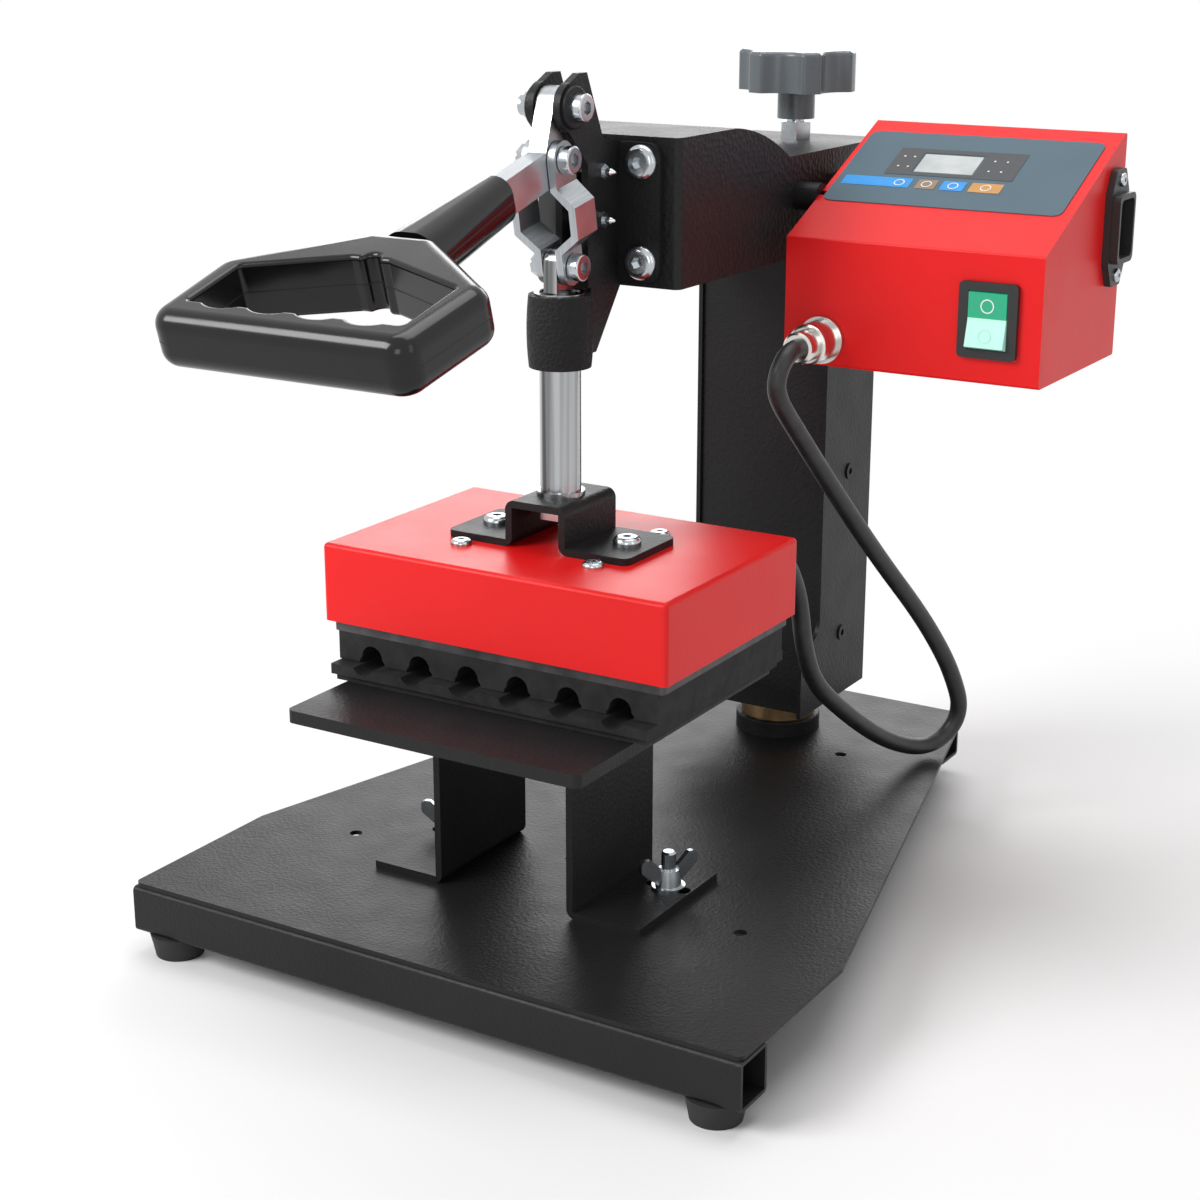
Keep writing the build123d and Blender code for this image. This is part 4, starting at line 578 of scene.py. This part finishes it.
class PressSizes(bpy.types.PropertyGroup):
    dot_radius: bpy.props.FloatProperty(
        name="Dot radius", description="Indicator dots beside the display",
        default=0.0005, min=0.0001, unit="LENGTH",
    )
    key_ring: bpy.props.FloatProperty(
        name="Key ring", description="Radius of the ring printed on each key",
        default=0.0019, min=0.0005, unit="LENGTH",
    )
    mark_ring: bpy.props.FloatProperty(
        name="Switch ring", description="Radius of the ring on the power switch",
        default=0.0024, min=0.0005, unit="LENGTH",
    )


def colors():
    return bpy.context.scene.press_colors


def sizes():
    return bpy.context.scene.press_sizes


# Mesh, lamp and surround helpers

def finish_mesh(name, mesh, material, body):
    """Turns a bmesh into an object that rides on a body."""
    data = bpy.data.meshes.new(name)
    mesh.to_mesh(data)
    mesh.free()
    piece = bpy.data.objects.new(name, data)
    bpy.context.scene.collection.objects.link(piece)
    data.materials.append(material)
    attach(piece, body)


def add_tile(mesh, low, high, corner):
    """A thin rounded tile between two corners in the panel's own X and Y."""
    made = bmesh.ops.create_grid(mesh, x_segments=1, y_segments=1, size=0.5)
    size = Vector((high[0] - low[0], high[1] - low[1], 1.0))
    centre = Vector(((low[0] + high[0]) / 2, (low[1] + high[1]) / 2, 0.0))
    bmesh.ops.scale(mesh, vec=size, verts=made["verts"])
    bmesh.ops.translate(mesh, vec=centre, verts=made["verts"])
    bmesh.ops.bevel(
        mesh, geom=made["verts"], offset=corner, segments=5, profile=0.5, affect="VERTICES", material=-1
    )


def add_ring(mesh, centre, radius, width):
    """A flat ring in the panel's own X and Y."""
    made = bmesh.ops.create_circle(mesh, cap_ends=False, segments=32, radius=radius)
    rim = {edge for corner in made["verts"] for edge in corner.link_edges}
    grown = bmesh.ops.extrude_edge_only(mesh, edges=list(rim))
    outer = [item for item in grown["geom"] if isinstance(item, bmesh.types.BMVert)]
    stretch = (radius + width) / radius
    bmesh.ops.scale(mesh, vec=(stretch, stretch, 1.0), verts=outer)
    bmesh.ops.translate(mesh, vec=(*centre, 0.0), verts=made["verts"] + outer)


def add_dot(mesh, centre, radius):
    made = bmesh.ops.create_circle(mesh, cap_ends=True, segments=16, radius=radius)
    bmesh.ops.translate(mesh, vec=(*centre, 0.0), verts=made["verts"])


def print_onto(mesh, place, lift):
    """Gives flat shapes a printed layer's thickness, lifts them, and lays them on a surface."""
    faces = mesh.faces[:]
    bmesh.ops.recalc_face_normals(mesh, faces=faces)
    for face in faces:
        if face.normal.z < 0:
            face.normal_flip()
    raised = bmesh.ops.extrude_face_region(mesh, geom=mesh.faces[:])
    top = [item for item in raised["geom"] if isinstance(item, bmesh.types.BMVert)]
    bmesh.ops.translate(mesh, vec=(0.0, 0.0, PRINT_THICK), verts=top)
    bmesh.ops.translate(mesh, vec=(0.0, 0.0, lift), verts=mesh.verts[:])
    bmesh.ops.recalc_face_normals(mesh, faces=mesh.faces[:])
    bmesh.ops.transform(mesh, matrix=place, verts=mesh.verts[:])


def panel_place():
    """The sloping face: X to the right, Y up the slope from the ridge, Z outwards."""
    turn = Matrix.Rotation(PANEL_SLOPE, 4, "X")
    return Matrix.Translation((0.0, BOX_FRONT, BOX_RIDGE)) @ turn


def front_place(x, y, z, lean=0.0):
    """A face that looks towards the user, leant so that its lower edge comes forward."""
    return Matrix.Translation((x, y, z)) @ Matrix.Rotation(math.radians(90.0) - lean, 4, "X")


def area_lamp(name, place, aim, size, power):
    data = bpy.data.lights.new(name, "AREA")
    data.shape = "RECTANGLE"
    data.size = size[0]
    data.size_y = size[1]
    data.energy = power
    lamp = bpy.data.objects.new(name, data)
    lamp.location = place
    lamp.rotation_euler = (Vector(aim) - Vector(place)).to_track_quat("-Z", "Y").to_euler()
    bpy.context.scene.collection.objects.link(lamp)


def seen_rays(nodes):
    """One for rays that reach the eye straight, through glass or off gloss, and nought for the rest."""
    rays = nodes.node("ShaderNodeLightPath")
    names = ("Is Camera Ray", "Is Glossy Ray", "Is Transmission Ray")
    camera, glossy, through = (Value(nodes, rays.outputs[name]) for name in names)
    return (camera + glossy + through).clamped()


def whiten_surround(context):
    """A soft grey world for light, and white where the eye or a reflection sees it."""
    world = bpy.data.worlds.new("surround")
    world.use_nodes = True
    context.scene.world = world
    nodes = Nodes(world.node_tree)
    nodes.tree.nodes.clear()
    soft = nodes.node("ShaderNodeBackground", inputs={"Color": WHITE, "Strength": SURROUND_LIGHT})
    white = nodes.node("ShaderNodeBackground", inputs={"Color": WHITE, "Strength": 1.0})
    shaders = {0: seen_rays(nodes), 1: soft.outputs[0], 2: white.outputs[0]}
    mix = nodes.node("ShaderNodeMixShader", inputs=shaders)
    nodes.node("ShaderNodeOutputWorld", inputs={"Surface": mix.outputs[0]})


# Operators

class PRESS_OT_camera(bpy.types.Operator):
    """Place the camera at the user's right, looking a little down"""

    bl_idname = "press.camera"
    bl_label = "Camera"

    def execute(self, context):
        data = bpy.data.cameras.new("camera")
        data.sensor_width = SENSOR_WIDTH
        data.sensor_fit = "HORIZONTAL"
        data.lens = FOCAL_PIXELS / IMAGE_PIXELS * SENSOR_WIDTH
        data.clip_end = CAMERA_FAR
        camera = bpy.data.objects.new("camera", data)
        camera.location = CAMERA_PLACE
        aim = Vector(CAMERA_AIM) - Vector(CAMERA_PLACE)
        camera.rotation_euler = aim.to_track_quat("-Z", "Y").to_euler()
        context.scene.collection.objects.link(camera)
        context.scene.camera = camera
        context.scene.view_settings.view_transform = "Standard"
        return {"FINISHED"}


class PRESS_OT_head_cord(bpy.types.Operator):
    """Run the head's cord from the box's plug down in a loop and up behind the head"""

    bl_idname = "press.head_cord"
    bl_label = "Head cord"

    def execute(self, context):
        data = bpy.data.curves.new("heater_cord", "CURVE")
        data.dimensions = "3D"
        line = data.splines.new("NURBS")
        line.points.add(len(CORD_POINTS) - 1)
        for point, place in zip(line.points, CORD_POINTS):
            point.co = (*place, 1.0)
        line.order_u = 3
        line.use_endpoint_u = True
        line.resolution_u = 12
        data.bevel_depth = CORD_DIAMETER / 2
        data.bevel_resolution = 6
        data.use_fill_caps = True
        data.materials.append(cord_sheath())
        cord = bpy.data.objects.new("heater_cord", data)
        context.scene.collection.objects.link(cord)
        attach(cord, "column")
        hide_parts("head_cord")
        return {"FINISHED"}


class PRESS_OT_finishes(bpy.types.Operator):
    """Give every carried-over piece its own finish"""

    bl_idname = "press.finishes"
    bl_label = "Finishes"

    def execute(self, context):
        for make, names in FINISH_NODES.items():
            material = make()
            for name in names:
                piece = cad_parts[name]
                if not piece.material_slots:
                    piece.data.materials.append(material)
                for slot in piece.material_slots:
                    slot.material = material
        return {"FINISHED"}


class PRESS_OT_panel_window(bpy.types.Operator):
    """Print the dark window round the display"""

    bl_idname = "press.panel_window"
    bl_label = "Display window"

    def execute(self, context):
        mesh = bmesh.new()
        left = DISPLAY_CENTRE[0] - DISPLAY_HALF[0] - DISPLAY_GAP
        right = DISPLAY_CENTRE[0] + DISPLAY_HALF[0] + DISPLAY_GAP
        low = DISPLAY_CENTRE[1] - DISPLAY_HALF[1] - DISPLAY_GAP
        high = DISPLAY_CENTRE[1] + DISPLAY_HALF[1] + DISPLAY_GAP
        add_tile(mesh, (WINDOW_LEFT, WINDOW_LOW), (left, WINDOW_HIGH), WINDOW_CORNER)
        add_tile(mesh, (right, WINDOW_LOW), (WINDOW_RIGHT, WINDOW_HIGH), WINDOW_CORNER)
        add_tile(mesh, (left, WINDOW_LOW), (right, low), SQUARE_CORNER)
        add_tile(mesh, (left, high), (right, WINDOW_HIGH), SQUARE_CORNER)
        print_onto(mesh, panel_place(), FILM_TOP + PRINT_LIFT)
        ink = printed("window_ink", (0.018, 0.022, 0.028), 0.35)
        finish_mesh("panel_window", mesh, ink, "column")
        return {"FINISHED"}


class PRESS_OT_panel_keys(bpy.types.Operator):
    """Print the coloured key row under the display"""

    bl_idname = "press.panel_keys"
    bl_label = "Key row"

    def execute(self, context):
        inks = {
            "blue": printed("key_blue_ink", (0.001, 0.25, 0.66)),
            "brown": printed("key_brown_ink", (0.24, 0.16, 0.09)),
            "orange": printed("key_orange_ink", (0.52, 0.24, 0.05)),
        }
        for name, left, right, ink in KEYS:
            mesh = bmesh.new()
            add_tile(mesh, (left, KEY_LOW), (right, KEY_HIGH), KEY_CORNER)
            print_onto(mesh, panel_place(), FILM_TOP + PRINT_LIFT)
            finish_mesh(name, mesh, inks[ink], "column")
        return {"FINISHED"}


class PRESS_OT_panel_marks(bpy.types.Operator):
    """Print plain rings on the keys and dots beside the display"""

    bl_idname = "press.panel_marks"
    bl_label = "Panel marks"

    def execute(self, context):
        mesh = bmesh.new()
        middle = (KEY_LOW + KEY_HIGH) / 2
        for name, left, right, _ in KEYS:
            centre_x = (left + right) / 2
            if name == "key_blue_long":
                centre_x = right - LONG_KEY_RING_INSET
            add_ring(mesh, (centre_x, middle), sizes().key_ring, KEY_RING_WIDTH)
        for column in DOT_COLUMNS:
            for row in DOT_ROWS:
                add_dot(mesh, (column, row), sizes().dot_radius)
        print_onto(mesh, panel_place(), FILM_TOP + 2 * PRINT_LIFT + PRINT_THICK)
        ink = printed("white_ink", (0.75, 0.77, 0.78))
        finish_mesh("panel_marks", mesh, ink, "column")
        return {"FINISHED"}


class PRESS_OT_switch_marks(bpy.types.Operator):
    """Print a ring on each half of the power switch"""

    bl_idname = "press.switch_marks"
    bl_label = "Switch marks"

    def execute(self, context):
        x, y, z = ROCKER_CENTRE
        face_y = y - ROCKER_FACE_OUT
        ink = printed("switch_ink", (0.80, 0.84, 0.82))
        ring = bmesh.new()
        add_ring(ring, (0.0, 0.0), sizes().mark_ring, OFF_RING_WIDTH)
        print_onto(ring, front_place(x, face_y, z + MARK_HEIGHT), PRINT_LIFT)
        finish_mesh("switch_off_ring", ring, ink, "rocker")
        faint = printed("switch_faint_ink", (0.42, 0.80, 0.66))
        lower = bmesh.new()
        add_ring(lower, (0.0, 0.0), sizes().mark_ring, ON_RING_WIDTH)
        forward = MARK_HEIGHT * math.tan(ROCKER_LEAN)
        print_onto(lower, front_place(x, face_y - forward, z - MARK_HEIGHT, ROCKER_LEAN), PRINT_LIFT)
        finish_mesh("switch_on_ring", lower, faint, "rocker")
        return {"FINISHED"}


class PRESS_OT_stage(bpy.types.Operator):
    """Build the pale floor, its lamps and a white surround"""

    bl_idname = "press.stage"
    bl_label = "Stage"

    def execute(self, context):
        mesh = bmesh.new()
        bmesh.ops.create_grid(mesh, x_segments=1, y_segments=1, size=FLOOR_HALF)
        data = bpy.data.meshes.new("floor")
        mesh.to_mesh(data)
        mesh.free()
        floor = bpy.data.objects.new("floor", data)
        context.scene.collection.objects.link(floor)
        data.materials.append(floor_paint())
        whiten_surround(context)
        for name, (place, aim, size, power) in LAMPS.items():
            area_lamp(name, place, aim, size, power)
        return {"FINISHED"}


OPERATORS = (
    PRESS_OT_camera,
    PRESS_OT_head_cord,
    PRESS_OT_finishes,
    PRESS_OT_panel_window,
    PRESS_OT_panel_keys,
    PRESS_OT_panel_marks,
    PRESS_OT_switch_marks,
    PRESS_OT_stage,
)


class PRESS_PT_sidebar(bpy.types.Panel):
    """Lists the steps that finish the press"""

    bl_label = "Pen Heat Press"
    bl_idname = "PRESS_PT_sidebar"
    bl_space_type = "VIEW_3D"
    bl_region_type = "UI"
    bl_category = "Press"

    def draw(self, context):
        column = self.layout.column(align=True)
        for step in OPERATORS:
            column.operator(step.bl_idname)
        for group in (context.scene.press_colors, context.scene.press_sizes):
            for name in group.bl_rna.properties.keys():
                if name not in {"rna_type", "name"}:
                    self.layout.prop(group, name)


CLASSES = (PressColors, PressSizes, *OPERATORS, PRESS_PT_sidebar)


def register():
    for item in CLASSES:
        bpy.utils.register_class(item)
    bpy.types.Scene.press_colors = bpy.props.PointerProperty(type=PressColors)
    bpy.types.Scene.press_sizes = bpy.props.PointerProperty(type=PressSizes)


def unregister():
    del bpy.types.Scene.press_sizes
    del bpy.types.Scene.press_colors
    for item in reversed(CLASSES):
        bpy.utils.unregister_class(item)


def main():
    register()
    bpy.ops.press.camera()
    bpy.ops.press.head_cord()
    bpy.ops.press.finishes()
    bpy.ops.press.panel_window()
    bpy.ops.press.panel_keys()
    bpy.ops.press.panel_marks()
    bpy.ops.press.switch_marks()
    bpy.ops.press.stage()


if __name__ == "__main__":
    main()
